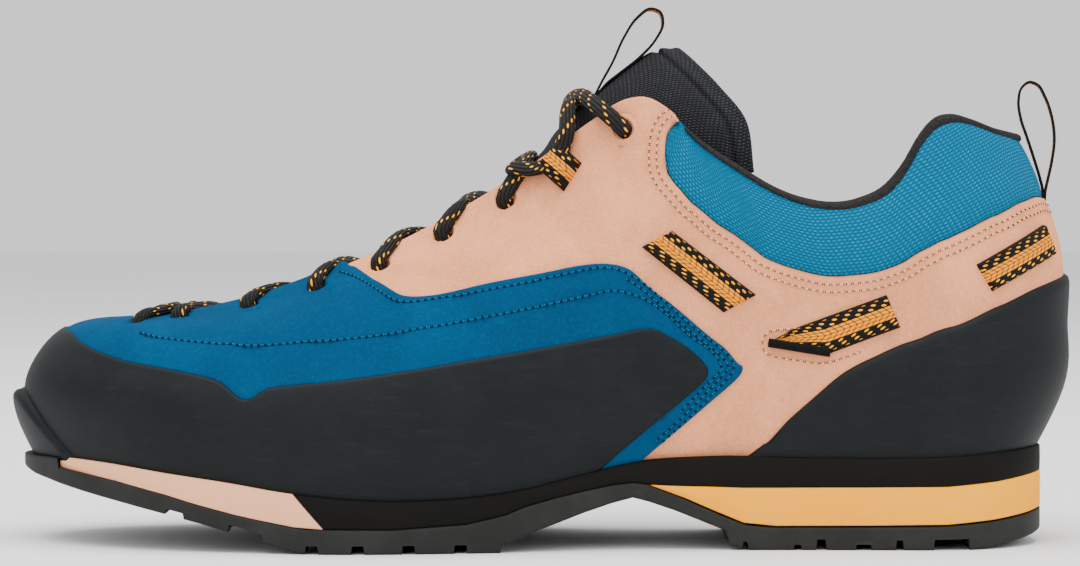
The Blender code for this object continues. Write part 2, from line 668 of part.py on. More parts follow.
def build_straps():
    total = 2 * (len(COLUMN) - 1)
    rows = np.arange(LOW_BANDS - 1, LOW_BANDS + BLUE_BANDS + TAN_BANDS + 1)
    for name, outline in STRAP.items():
        front = 23 if name == "lace_loop" else 20
        columns = np.arange(1, front)
        cut_panel(name + "_l", "webbing", outline, columns, rows, GAP, GAP + STRAP_THICK, -70.0, -2.0)
        columns = np.arange(total - front + 1, total)
        cut_panel(name + "_m", "webbing", outline, columns, rows, GAP, GAP + STRAP_THICK, 2.0, 70.0)


def build_bumper():
    half = len(COLUMN) - 1
    columns = np.arange(half - 9, half + 10)
    rows = np.arange(0, LOW_BANDS + 1)
    away = np.abs(full_columns()[columns, 0] - 1.0)
    high = BUMPER_EDGE + (BUMPER_OUT - BUMPER_EDGE) * np.clip(1.15 - away / 0.08, 0, 1)
    cut_panel("toe_bumper", "outsole_rubber", BUMPER, columns, rows, BUMPER_IN, high, -70.0, 70.0)


def tongue_low(depth_in):
    """Sections of the lower tongue, from edge to edge under the throat."""
    u, deep, rise, thick = TONGUE_LOW.T
    v = np.array(TONGUE_V)
    side_u = np.broadcast_to(u[:, None], (len(u), len(v)))
    side_v = np.broadcast_to(v, side_u.shape)
    share = 0.4 + 0.6 * np.linspace(0, 1, len(v))**0.5
    sink = deep[:, None] + depth_in * thick[:, None] * share
    left = surface(side_u, side_v) - outward(side_u, side_v) * sink[..., None]
    right = surface(2 - side_u, side_v) - outward(2 - side_u, side_v) * sink[..., None]
    right = right[:, ::-1]
    a, b = left[:, -1], right[:, 0]
    rows = [left]
    for t in (0.25, 0.5, 0.75):
        up = (1 - depth_in) * rise * math.sin(math.pi * t)
        middle = a * (1 - t) + b * t
        middle[:, 2] += up
        rows.append(middle[:, None])
    rows.append(right)
    return np.concatenate(rows, axis=1)


def tongue_high(depth_in, count):
    """Arched sections of the tongue where it stands out of the collar."""
    x, z, half, deep, thick, lean, tuck = TONGUE_HIGH.T
    down_x, down_z = np.sin(np.radians(lean)), -np.cos(np.radians(lean))
    q = np.linspace(-1, 1, count)
    angle = q * math.radians(88)
    end = 1 - 0.6 * np.abs(q)**6
    inward = depth_in * thick[:, None] * end
    tuck = tuck[:, None] * np.abs(q)**5
    y = (half[:, None] - inward * 0.9) * np.sin(angle) * (1 - 0.12 * tuck)
    fall = deep[:, None] * (1 - np.cos(angle)) + inward * np.cos(angle)
    along = x[:, None] + down_x[:, None] * fall - 4.5 * tuck
    return np.stack([along, y, z[:, None] + down_z[:, None] * fall - 6.5 * tuck], -1)


def build_tongue():
    count = 2 * len(TONGUE_V) + 3
    outer = np.concatenate([tongue_low(0.0), tongue_high(0.0, count)])
    inner = np.concatenate([tongue_low(1.0), tongue_high(1.0, count)])
    cells = np.ones((outer.shape[0], count - 1), bool)
    points, faces = shell(outer, inner, cells, False)
    put("tongue", points, faces, "tongue_mesh")


def plan_edge(reach, side_u):
    """Plan curve of the feather edge moved out: x rising, y.

    reach: millimetres, or the name of a column of the reach table.
    """
    w = np.linspace(0.0, 1.0, 401)
    u = w if side_u == 0 else 2 - w
    u = np.where(u >= 2, 1.99999, u)
    x, y = level_xy(0, u)
    dx = np.gradient(x)
    dy = np.gradient(y)
    size = np.hypot(dx, dy)
    sign = 1.0 if side_u == 0 else -1.0
    if reach in ("outsole", "slab"):
        column = 1 if reach == "outsole" else 2
        out = np.interp(w, SOLE_REACH[:, 0], SOLE_REACH[:, column])
    else:
        out = reach
    x = x - sign * dy / size * out
    y = y + sign * dx / size * out
    order = np.argsort(x)
    return x[order], y[order]


def slab(name, slot, xs, low, high, reach, chamfer, crown=0.0, top_xs=None):
    """Slab of the sole: sections across the foot at each x.

    top_xs: x of the upper edge of each section, where a section leans.
    """
    tops = xs if top_xs is None else top_xs
    xl, yl = plan_edge(reach, 0)
    xm, ym = plan_edge(reach, 1)
    rows = []
    for x, t, z0, z1 in zip(xs, tops, low, high):
        a, b = np.interp(x, xl, yl), np.interp(x, xm, ym)
        at, bt = np.interp(t, xl, yl), np.interp(t, xm, ym)
        c = min(chamfer, (b - a) * 0.2, (z1 - z0) * 0.3)
        q = [a + (b - a) * 0.3, a + (b - a) * 0.7]
        qt = [at + (bt - at) * 0.3, at + (bt - at) * 0.7]
        rows.append([
            (x, a + c, z0), (x, a, z0 + c), (t, at, z1), (t, qt[0], z1 - crown), (t, qt[1], z1 - crown),
            (t, bt, z1), (x, b, z0 + c), (x, b - c, z0), (x, q[1], z0), (x, q[0], z0),
        ])
    rows = np.array(rows)
    n, m = rows.shape[:2]
    faces = [tuple(range(m)), tuple(range(n * m - 1, n * m - m - 1, -1))]
    for i in range(n - 1):
        for j in range(m):
            k = (j + 1) % m
            faces += quad(i * m + j, i * m + k, (i + 1) * m + k, (i + 1) * m + j)
    return put(name, rows.reshape(-1, 3), faces, slot)


def build_sole():
    nose = np.array([-147.2, -145.8, -142.5, -137.6, -134.8, -134.4, -127.0])
    heel = np.array([126.0, 131.0, 135.5, 139.0, 141.2])
    xs = np.concatenate([nose, OUTSOLE[7:-3, 0], heel])
    low = np.interp(xs, OUTSOLE[:, 0], OUTSOLE[:, 1])
    high = np.interp(xs, OUTSOLE[:, 0], OUTSOLE[:, 2])
    sole = slab("outsole", "outsole_rubber", xs, low, high, "outsole", 0.8)
    for x0, x1, y0, y1, depth in GROOVE:
        points, faces = prism([(x0, -5.0), (x1, -5.0), (x1, depth), (x0, depth)], y0, y1)
        cut(sole, put("groove_tool", points, faces, "rubber", keep=False), "DIFFERENCE")
    xs = np.array([-134.1, -127.0, -117.0, -110.0, -103.0, -93.0, -83.0, -76.0, -58.9])
    tops = np.append(xs[:-1], -67.3)
    low = np.interp(xs, OUTSOLE[:, 0], OUTSOLE[:, 2]) + GAP
    high = feather_z(tops) - GAP
    slab("forefoot_wedge", "foam_tan", xs, low, high, "slab", 0.4, top_xs=tops)
    inside = np.array([-52.0, -46.0, -40.0, -33.0, -26.0, -20.0, -15.0, -11.0, -9.5, -4.0,
                       0.0, 4.0, 8.0, 12.0, 16.0, 20.0, 25.5, 30.0])
    rear = np.array([35.5, 40.0, 48.0, 56.0, 65.0, 77.0, 90.0, 101.0, 112.0, 119.0, 126.0, 131.0, 135.5, 139.0])
    xs = np.concatenate([[-58.4], inside, rear, [141.0]])
    tops = np.append(-66.9, xs[1:])
    high = feather_z(tops) - GAP
    wedge_top = np.interp(xs, HEEL_WEDGE[:, 0], HEEL_WEDGE[:, 2], left=-9.0)
    low = np.maximum(np.interp(xs, OUTSOLE[:, 0], OUTSOLE[:, 2]), wedge_top) + GAP
    slab("midsole", "foam_black", xs, low, high, "slab", 0.6, top_xs=tops)
    xs = np.append(rear, 141.2)
    low = np.interp(xs, HEEL_WEDGE[:, 0], HEEL_WEDGE[:, 1])
    high = np.interp(xs, HEEL_WEDGE[:, 0], HEEL_WEDGE[:, 2])
    slab("heel_wedge", "foam_yellow", xs, low, high, "slab", 0.4)


def build_insole():
    xs = np.concatenate([[-134.0, -131.0, -127.0, -121.0], np.arange(-113.0, 112.0, 12.5),
                         [116.0, 122.0, 127.0, 131.0, 133.6]])
    low = feather_z(xs) + 0.1
    slab("insole", "insole_felt", xs, low, low + 4.6, -WALL - 0.9, 0.8, crown=1.4)


def tube(path, radius, count, flat=1.0):
    """Round tube along a path, as points and faces."""
    path = np.asarray(path, float)
    along = np.gradient(path, axis=0)
    along /= np.linalg.norm(along, axis=1, keepdims=True)
    side = np.cross(along, [0.0, 0.0, 1.0])
    side /= np.linalg.norm(side, axis=1, keepdims=True)
    other = np.cross(side, along)
    angle = (np.arange(count) + 0.5) * 2 * math.pi / count
    ring = np.cos(angle)[None, :, None] * side[:, None] + flat * np.sin(angle)[None, :, None] * other[:, None]
    points = (path[:, None] + radius * ring).reshape(-1, 3)
    n = len(path)
    faces = [tuple(range(count)), tuple(range(n * count - 1, (n - 1) * count - 1, -1))]
    for i in range(n - 1):
        for j in range(count):
            k = (j + 1) % count
            faces += quad(i * count + j, i * count + k, (i + 1) * count + k, (i + 1) * count + j)
    return points, faces


def lace_path(first, second, lift):
    """Path of one lace bar over the throat, from an outer eyelet to an inner one."""
    u0, v0, blue0 = EYELET[first]
    u1, v1, blue1 = EYELET[second]
    up0 = LACE_RADIUS + (1.8 if blue0 or first == LOOP_EYELET else 0.5)
    up1 = LACE_RADIUS + (1.8 if blue1 or second == LOOP_EYELET else 0.5)
    aside = math.copysign(LACE_ASIDE, u1 - u0)
    u0 += aside
    u1 -= aside
    u = np.array([u0, u0 + (u1 - u0) * 0.30, 2 - (u0 + (u1 - u0) * 0.70), 2 - u1])
    v = np.array([v0 + 0.012, 1.0, 1.0, v1 + 0.012])
    p = surface(u, v)
    n = outward(u, v)
    p = p + n * np.array([up0, up0 + 0.5, up1 + 0.5, up1])[:, None]
    middle = (p[1] + p[2]) / 2 + np.array([0.0, 0.0, lift])
    knots = np.array([p[0], p[1], middle, p[2], p[3]])
    t = np.linspace(0, 4, 7)
    return np.stack([curve(t, np.arange(5), knots[:, i]) for i in range(3)], -1)


def build_laces():
    for i in range(len(EYELET) - 1):
        under = tube(lace_path(i, i + 1, LACE_LIFT[i]), LACE_RADIUS, 6)
        over = tube(lace_path(i + 1, i, LACE_LIFT[i] + 2.0), LACE_RADIUS, 6)
        name = "lace_%d" % (i + 1)
        made = put(name, under[0], under[1], "lace_cord")
        cut(made, put("lace_tool", over[0], over[1], "lace_cord", keep=False), "UNION")


def tape(name, path):
    """Pull loop: thin tape standing edge-on along a path in the middle plane."""
    path = np.asarray(path, float)
    along = np.gradient(path, axis=0)
    along /= np.linalg.norm(along, axis=1, keepdims=True)
    side = np.stack([-along[:, 1], along[:, 0]], -1) * TAPE_THICK / 2
    a = path + side
    b = path - side
    rows = []
    for p, q in zip(a, b):
        rows.append([(p[0], -TAPE_HALF, p[1]), (p[0], TAPE_HALF, p[1]),
                     (q[0], TAPE_HALF, q[1]), (q[0], -TAPE_HALF, q[1])])
    rows = np.array(rows)
    n = len(rows)
    faces = [(0, 1, 2, 3), (4 * n - 1, 4 * n - 2, 4 * n - 3, 4 * n - 4)]
    for i in range(n - 1):
        for j in range(4):
            k = (j + 1) % 4
            faces += quad(i * 4 + j, i * 4 + k, i * 4 + 4 + k, i * 4 + 4 + j)
    put(name, rows.reshape(-1, 3), faces, "tape")


def main():
    clear_scene()
    upper = build_upper()
    punch(upper, [f for i, f in enumerate(eyelet_frames()) if i // 2 != LOOP_EYELET])
    build_panels()
    build_straps()
    build_bumper()
    build_tongue()
    build_sole()
    build_insole()
    build_laces()
    tape("heel_loop", HEEL_LOOP)
    tape("tongue_loop", TONGUE_LOOP)


main()
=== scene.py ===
"""Looks of the approach shoe: fine surfaces, finishes, lace, stitches and a plain studio.

The shape follows the same function as the solids: u runs round the foot
(0 heel, 1 toe, 2 heel again by the inner side), v from the sole edge to the
top line. Lengths in the tables are millimetres; meshes are in metres.
"""
import logging  # noqa: E402
import math  # noqa: E402
from dataclasses import dataclass, field  # noqa: E402
from enum import Enum  # noqa: E402
from typing import Callable, Sequence  # noqa: E402

import bpy  # noqa: E402
import numpy as np  # noqa: E402
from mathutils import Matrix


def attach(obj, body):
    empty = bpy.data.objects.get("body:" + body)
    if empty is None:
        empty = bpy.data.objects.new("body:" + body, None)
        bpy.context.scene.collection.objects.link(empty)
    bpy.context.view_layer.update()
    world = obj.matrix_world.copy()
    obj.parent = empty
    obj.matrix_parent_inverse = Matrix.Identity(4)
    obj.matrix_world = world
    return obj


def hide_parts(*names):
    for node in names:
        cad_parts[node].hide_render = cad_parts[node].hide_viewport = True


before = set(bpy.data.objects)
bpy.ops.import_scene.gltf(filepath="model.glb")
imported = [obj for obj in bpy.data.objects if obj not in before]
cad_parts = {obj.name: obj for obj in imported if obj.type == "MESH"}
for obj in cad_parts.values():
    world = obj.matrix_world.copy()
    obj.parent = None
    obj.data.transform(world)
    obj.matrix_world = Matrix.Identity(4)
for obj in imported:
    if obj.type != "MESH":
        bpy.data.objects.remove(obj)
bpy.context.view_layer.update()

LOG = logging.getLogger("shoe")
MM = 0.001
Array = np.ndarray
HEEL_END = 0.14
TOE_START = 0.80
MEDIAL_SHIFT = 6.0


class Side(Enum):
    """The two sides of the foot."""

    LATERAL = "l"
    MEDIAL = "m"

    def u(self, u: float) -> float:
        """Place on this side of a u given on the lateral side.

        Args:
            u: share of the way from heel to toe.

        Returns:
            The same place on this side, from 0 to 2.
        """
        return u if self is Side.LATERAL else 2 - u


def curve(t: Array, knots: Array, values: Array, calm: bool = False) -> Array:
    """Cubic through a table of values, from the value and slope at each of its places.

    Args:
        t: places asked for.
        knots: rising places of the table.
        values: values of the table.
        calm: never overshoot: each slope is the harmonic mean of the two beside it, and 0 at
            a peak. Otherwise it is their mean, weighted by the steps.

    Returns:
        The values at t, held at both ends.
    """
    step = np.diff(knots)
    rate = np.diff(values) / step
    if calm:
        both = rate[:-1] * rate[1:] > 0
        mean = np.where(both, 2 * rate[:-1] * rate[1:] / np.where(both, rate[:-1] + rate[1:], 1), 0)
    else:
        share = step[:-1] / (step[:-1] + step[1:])
        mean = rate[:-1] * (1 - share) + rate[1:] * share
    slope = np.concatenate([rate[:1], mean, rate[-1:]])
    t = np.clip(t, knots[0], knots[-1])
    i = np.clip(np.searchsorted(knots, t, side="right") - 1, 0, len(knots) - 2)
    step = step[i]
    s = (t - knots[i]) / step
    low = (2 * s**3 - 3 * s**2 + 1) * values[i] + (s**3 - 2 * s**2 + s) * step * slope[i]
    high = (3 * s**2 - 2 * s**3) * values[i + 1] + (s**3 - s**2) * step * slope[i + 1]
    return low + high


def ease(x: Array) -> Array:
    """Smooth step from 0 to 1 for x from 0 to 1."""
    x = np.clip(x, 0, 1)
    return x * x * (3 - 2 * x)


def dome(share: Array) -> Array:
    """Quarter-round rise from 0 to 1 for a share from 0 to 1."""
    return np.sqrt(1 - (1 - np.clip(share, 0, 1))**2)


def unit(v: Array) -> Array:
    """Vectors of length one along the last axis."""
    return v / np.maximum(np.linalg.norm(v, axis=-1, keepdims=True), 1e-9)


def run_length(points: Array, axis: int) -> Array:
    """Length along one axis of a grid of points: the sum of the steps before each.

    Args:
        points: grid of points, or a row of them.
        axis: axis to follow.

    Returns:
        Length up to each point, 0 on the first line.
    """
    step = np.linalg.norm(np.diff(points, axis=axis), axis=-1)
    zero = np.zeros_like(np.take(step, [0], axis=axis))
    return np.concatenate([zero, np.cumsum(step, axis=axis)], axis=axis)


def own_map(points: Array) -> Array:
    """Map of a surface: millimetres along its rows and along its columns."""
    return np.stack([run_length(points, 0), run_length(points, 1)], -1)


def through(t: Array, knots: Array, points: Array) -> Array:
    """Smooth curve through points, each coordinate as a curve of its own."""
    return np.stack([curve(t, knots, points[:, i]) for i in range(points.shape[1])], -1)


def nearest(points: Array, marks: Array) -> Array:
    """Distance from each point to the nearest mark, worked out in blocks.

    Args:
        points: any shape ending in 3.
        marks: N x 3.

    Returns:
        Distances, in the shape of points without its last axis.
    """
    block = 4000
    flat = points.reshape(-1, 3).astype(np.float32)
    marks = marks.astype(np.float32)
    own = np.sum(marks**2, 1)
    found = np.empty(len(flat), np.float32)
    for start in range(0, len(flat), block):
        part = flat[start:start + block]
        square = np.sum(part**2, 1)[:, None] + own - 2 * part @ marks.T
        found[start:start + block] = np.sqrt(np.maximum(square.min(1), 0))
    return found.reshape(points.shape[:-1]).astype(float)


@dataclass(frozen=True)
class Last:
    """The outside form of the upper as a function of u and v.

    Five plan curves, each two half ovals joined by straight runs, lie one above the
    other; a natural spline up the foot joins their points of equal u.
    """

    # x at heel and toe, rounding at heel and toe, fullness of the toe
    levels: tuple = (
        (139.2, -139.5, 30.0, 50.0, 0.86),
        (146.8, -145.0, 36.0, 54.0, 0.86),
        (148.0, -142.8, 36.0, 52.0, 0.86),
        (147.0, -131.0, 33.0, 42.0, 0.9),
        (134.6, -114.0, 27.0, 15.0, 1.0),
    )
    level_v: tuple = (0.0, 0.16, 0.42, 0.74, 1.0)
    # u, centre line y, belly above feather, share of height at wall, at shoulder
    station: tuple = (
        (0.0, 0.0, 16.0, 0.24, 0.58),
        (0.14, 0.0, 15.0, 0.26, 0.6),
        (0.28, 0.0, 14.0, 0.3, 0.62),
        (0.42, 0.0, 14.0, 0.34, 0.7),
        (0.55, 0.5, 14.0, 0.4, 0.76),
        (0.68, 2.0, 14.0, 0.4, 0.8),
        (0.8, 5.0, 14.0, 0.44, 0.84),
        (0.9, 7.5, 13.0, 0.5, 0.9),
        (1.0, 9.0, 12.0, 0.55, 0.94),
    )
    # half widths: feather, belly, wall, shoulder, top
    lateral: tuple = (
        (31.5, 33.5, 32.5, 28.0, 24.5),
        (32.5, 34.5, 33.5, 31.5, 28.5),
        (31.5, 34.5, 33.5, 32.5, 32.0),
        (33.5, 38.0, 36.5, 31.5, 23.0),
        (41.0, 46.0, 43.5, 31.0, 13.5),
        (46.8, 50.5, 47.5, 33.5, 9.5),
        (44.2, 47.5, 45.0, 34.5, 7.5),
        (40.5, 43.0, 41.0, 33.0, 6.5),
        (38.0, 40.0, 38.0, 31.0, 6.0),
    )
    medial: tuple = (
        (30.5, 33.0, 32.0, 27.5, 24.5),
        (31.5, 34.0, 33.0, 31.0, 28.5),
        (28.5, 32.5, 32.5, 32.0, 32.0),
        (29.0, 34.5, 34.5, 31.0, 23.0),
        (36.5, 41.5, 39.5, 29.0, 13.5),
        (43.8, 47.0, 44.0, 30.5, 9.5),
        (40.2, 43.0, 40.5, 30.0, 7.5),
        (36.0, 38.5, 36.5, 28.0, 6.5),
        (33.0, 35.5, 34.0, 26.0, 6.0),
    )
    # x, z of the sole edge
    feather: tuple = (
        (-139.0, 25.0), (-119.0, 23.8), (-103.0, 21.7), (-86.0, 19.4), (-68.0, 16.6),
        (-42.0, 14.6), (-26.0, 14.9), (-9.0, 16.6), (9.0, 20.6), (27.0, 24.6),
        (45.0, 25.8), (77.0, 25.5), (110.0, 25.7), (125.0, 26.6), (139.0, 27.6),
    )
    # x, z of the top line
    topline: tuple = (
        (-114.0, 62.0), (-106.0, 63.0), (-98.0, 64.3), (-82.0, 68.0), (-55.0, 78.0),
        (-36.0, 86.5), (-17.0, 97.0), (1.0, 108.5), (14.0, 118.0), (24.0, 124.0),
        (30.0, 124.3), (35.0, 121.5), (43.0, 114.0), (55.0, 105.5), (66.0, 99.2),
        (77.0, 96.0), (88.0, 97.0), (95.5, 101.0), (100.0, 106.5), (104.0, 113.5),
        (108.0, 118.3), (113.5, 120.2), (119.5, 119.0), (126.0, 116.8), (133.0, 115.5),
    )
    # fullness of the heel's rounding
    heel_full: float = 0.94
    # x where the inner side's top line starts to run further back, where in full, and where no more
    shift: tuple = (45.0, 80.0, 108.0, 130.0)
    # a point inside the foot and how much each direction from it counts
    core: tuple = (0.0, 2.0, 55.0)
    core_weight: tuple = (0.2, 1.0, 1.0)

    def table(self, rows: tuple, column: int, at: Array) -> Array:
        """Value of one column of a table whose first column is its place."""
        data = np.array(rows)
        return curve(at, data[:, 0], data[:, column])

    def level(self, k: int, u: Array) -> tuple[Array, Array]:
        """Plan curve of one level.

        Args:
            k: number of the level, 0 at the sole.
            u: places round the foot.

        Returns:
            x and y.
        """
        side = np.where(u <= 1, -1.0, 1.0)
        w = np.where(u <= 1, u, 2 - u)
        x_heel, x_toe, r_heel, r_toe, full = self.levels[k]
        at_heel = np.clip(w / HEEL_END, 0, 1) * math.pi / 2
        at_toe = np.clip((1 - w) / (1 - TOE_START), 0, 1) * math.pi / 2
        mid = (w - HEEL_END) / (TOE_START - HEEL_END)
        x = (x_heel - r_heel) * (1 - mid) + (x_toe + r_toe) * mid
        x = np.where(w < HEEL_END, x_heel - r_heel * (1 - np.cos(at_heel)), x)
        x = np.where(w > TOE_START, x_toe + r_toe * (1 - np.cos(at_toe)), x)
        close = np.where(w < HEEL_END, np.sin(at_heel)**self.heel_full, 1.0)
        close = np.where(w > TOE_START, np.sin(at_toe)**full, close)
        places = np.array(self.station)[:, 0]
        half = np.where(side < 0, curve(w, places, np.array(self.lateral)[:, k]),
                        curve(w, places, np.array(self.medial)[:, k]))
        return x, self.table(self.station, 1, w) + side * half * close

    def blend(self, v: Array) -> Array:
        """Weights of the five levels at v, from a natural cubic spline.

        Args:
            v: heights from 0 to 1.

        Returns:
            Weights along a new last axis.
        """
        knots = np.array(self.level_v)
        n = len(knots)
        h = np.diff(knots)
        left, right = np.eye(n), np.zeros((n, n))
        for i in range(1, n - 1):
            left[i, i - 1:i + 2] = h[i - 1], 2 * (h[i - 1] + h[i]), h[i]
            right[i, i - 1:i + 2] = 6 / h[i - 1], -6 / h[i - 1] - 6 / h[i], 6 / h[i]
        bend = np.linalg.solve(left, right)
        i = np.clip(np.searchsorted(knots, v, side="right") - 1, 0, n - 2)
        a = (knots[i + 1] - v) / h[i]
        b = (v - knots[i]) / h[i]
        flat = a[..., None] * np.eye(n)[i] + b[..., None] * np.eye(n)[i + 1]
        return flat + ((a**3 - a) * h[i]**2 / 6)[..., None] * bend[i] \
            + ((b**3 - b) * h[i]**2 / 6)[..., None] * bend[i + 1]

    def at(self, u: Array, v: Array) -> Array:
        """Points of the outside form.

        Args:
            u: places round the foot, any range.
            v: heights from 0 to 1.

        Returns:
            Points, in millimetres.
        """
        u, v = np.broadcast_arrays(np.mod(np.asarray(u, float), 2), np.asarray(v, float))
        w = np.where(u <= 1, u, 2 - u)
        plan = [self.level(k, u) for k in range(len(self.levels))]
        low = self.table(self.feather, 1, plan[0][0])
        belly = low + self.table(self.station, 2, w)
        top_x = plan[-1][0]
        shift = MEDIAL_SHIFT * np.interp(top_x, self.shift, (0, 1, 1, 0))
        top = self.table(self.topline, 1, top_x - np.where(u > 1, shift, 0.0))
        middle, shoulder = (belly + self.table(self.station, k, w) * (top - belly) for k in (3, 4))
        weight = self.blend(v)
        heights = (low, belly, middle, shoulder, top)
        return sum(weight[..., k, None] * np.stack([*plan[k], z], -1) for k, z in enumerate(heights))

    def normal(self, u: Array, v: Array) -> Array:
        """Unit normals of the outside form, pointing away from the foot.

        Args:
            u: places round the foot.
            v: heights from 0 to 1.

        Returns:
            The cross product of the steps along u and v, made one long.
        """
        e = 1e-3
        across = self.at(u + e, v) - self.at(u - e, v)
        up = self.at(u, np.clip(v + e, 0, 1)) - self.at(u, np.clip(v - e, 0, 1))
        n = np.cross(across, up)
        away = (self.at(u, v) - self.core) * self.core_weight
        n = np.where(np.sum(n * away, -1)[..., None] < 0, -n, n)
        return unit(n)

    def over(self, u: Array, v: Array, height: Array) -> Array:
        """Points at a height above the outside form."""
        return self.at(u, v) + self.normal(u, v) * np.asarray(height)[..., None]

    def spot(self, u: float, v: float, height: float = 0.0) -> Array:
        """One point at a height above the outside form."""
        return self.over(np.array([u]), np.array([v]), np.array([height]))[0]

    def locate(self, xz: Array, side: Side) -> tuple[Array, Array]:
        """Find u and v of points given by x and z in the side view.

        The nearest point of a coarse grid is moved by Newton steps.

        Args:
            xz: N x 2 places.
            side: side of the foot.

        Returns:
            u and v of each place.
        """
        e, least, stride = 1e-4, 1e-6, 0.01
        u, v = np.meshgrid(np.linspace(0.01, 0.99, 281), np.linspace(0, 1, 141), indexing="ij")
        if side is Side.MEDIAL:
            u = 2 - u
        p = self.at(u, v)[..., [0, 2]].reshape(-1, 2)
        found = np.array([np.argmin(np.sum((p - q)**2, 1)) for q in xz])
        fu, fv = u.ravel()[found], v.ravel()[found]
        for _ in range(4):
            here = self.at(fu, fv)[:, [0, 2]]
            du = (self.at(fu + e, fv)[:, [0, 2]] - here) / e
            dv = (self.at(fu, fv + e)[:, [0, 2]] - here) / e
            gap = xz - here
            det = du[:, 0] * dv[:, 1] - du[:, 1] * dv[:, 0]
            det = np.where(np.abs(det) < least, least, det)
            along = (gap[:, 0] * dv[:, 1] - gap[:, 1] * dv[:, 0]) / det
            up = (du[:, 0] * gap[:, 1] - du[:, 1] * gap[:, 0]) / det
            fu = fu + np.clip(along, -stride, stride)
            fv = np.clip(fv + np.clip(up, -stride, stride), 0, 1)
        return fu, fv


LAST = Last()


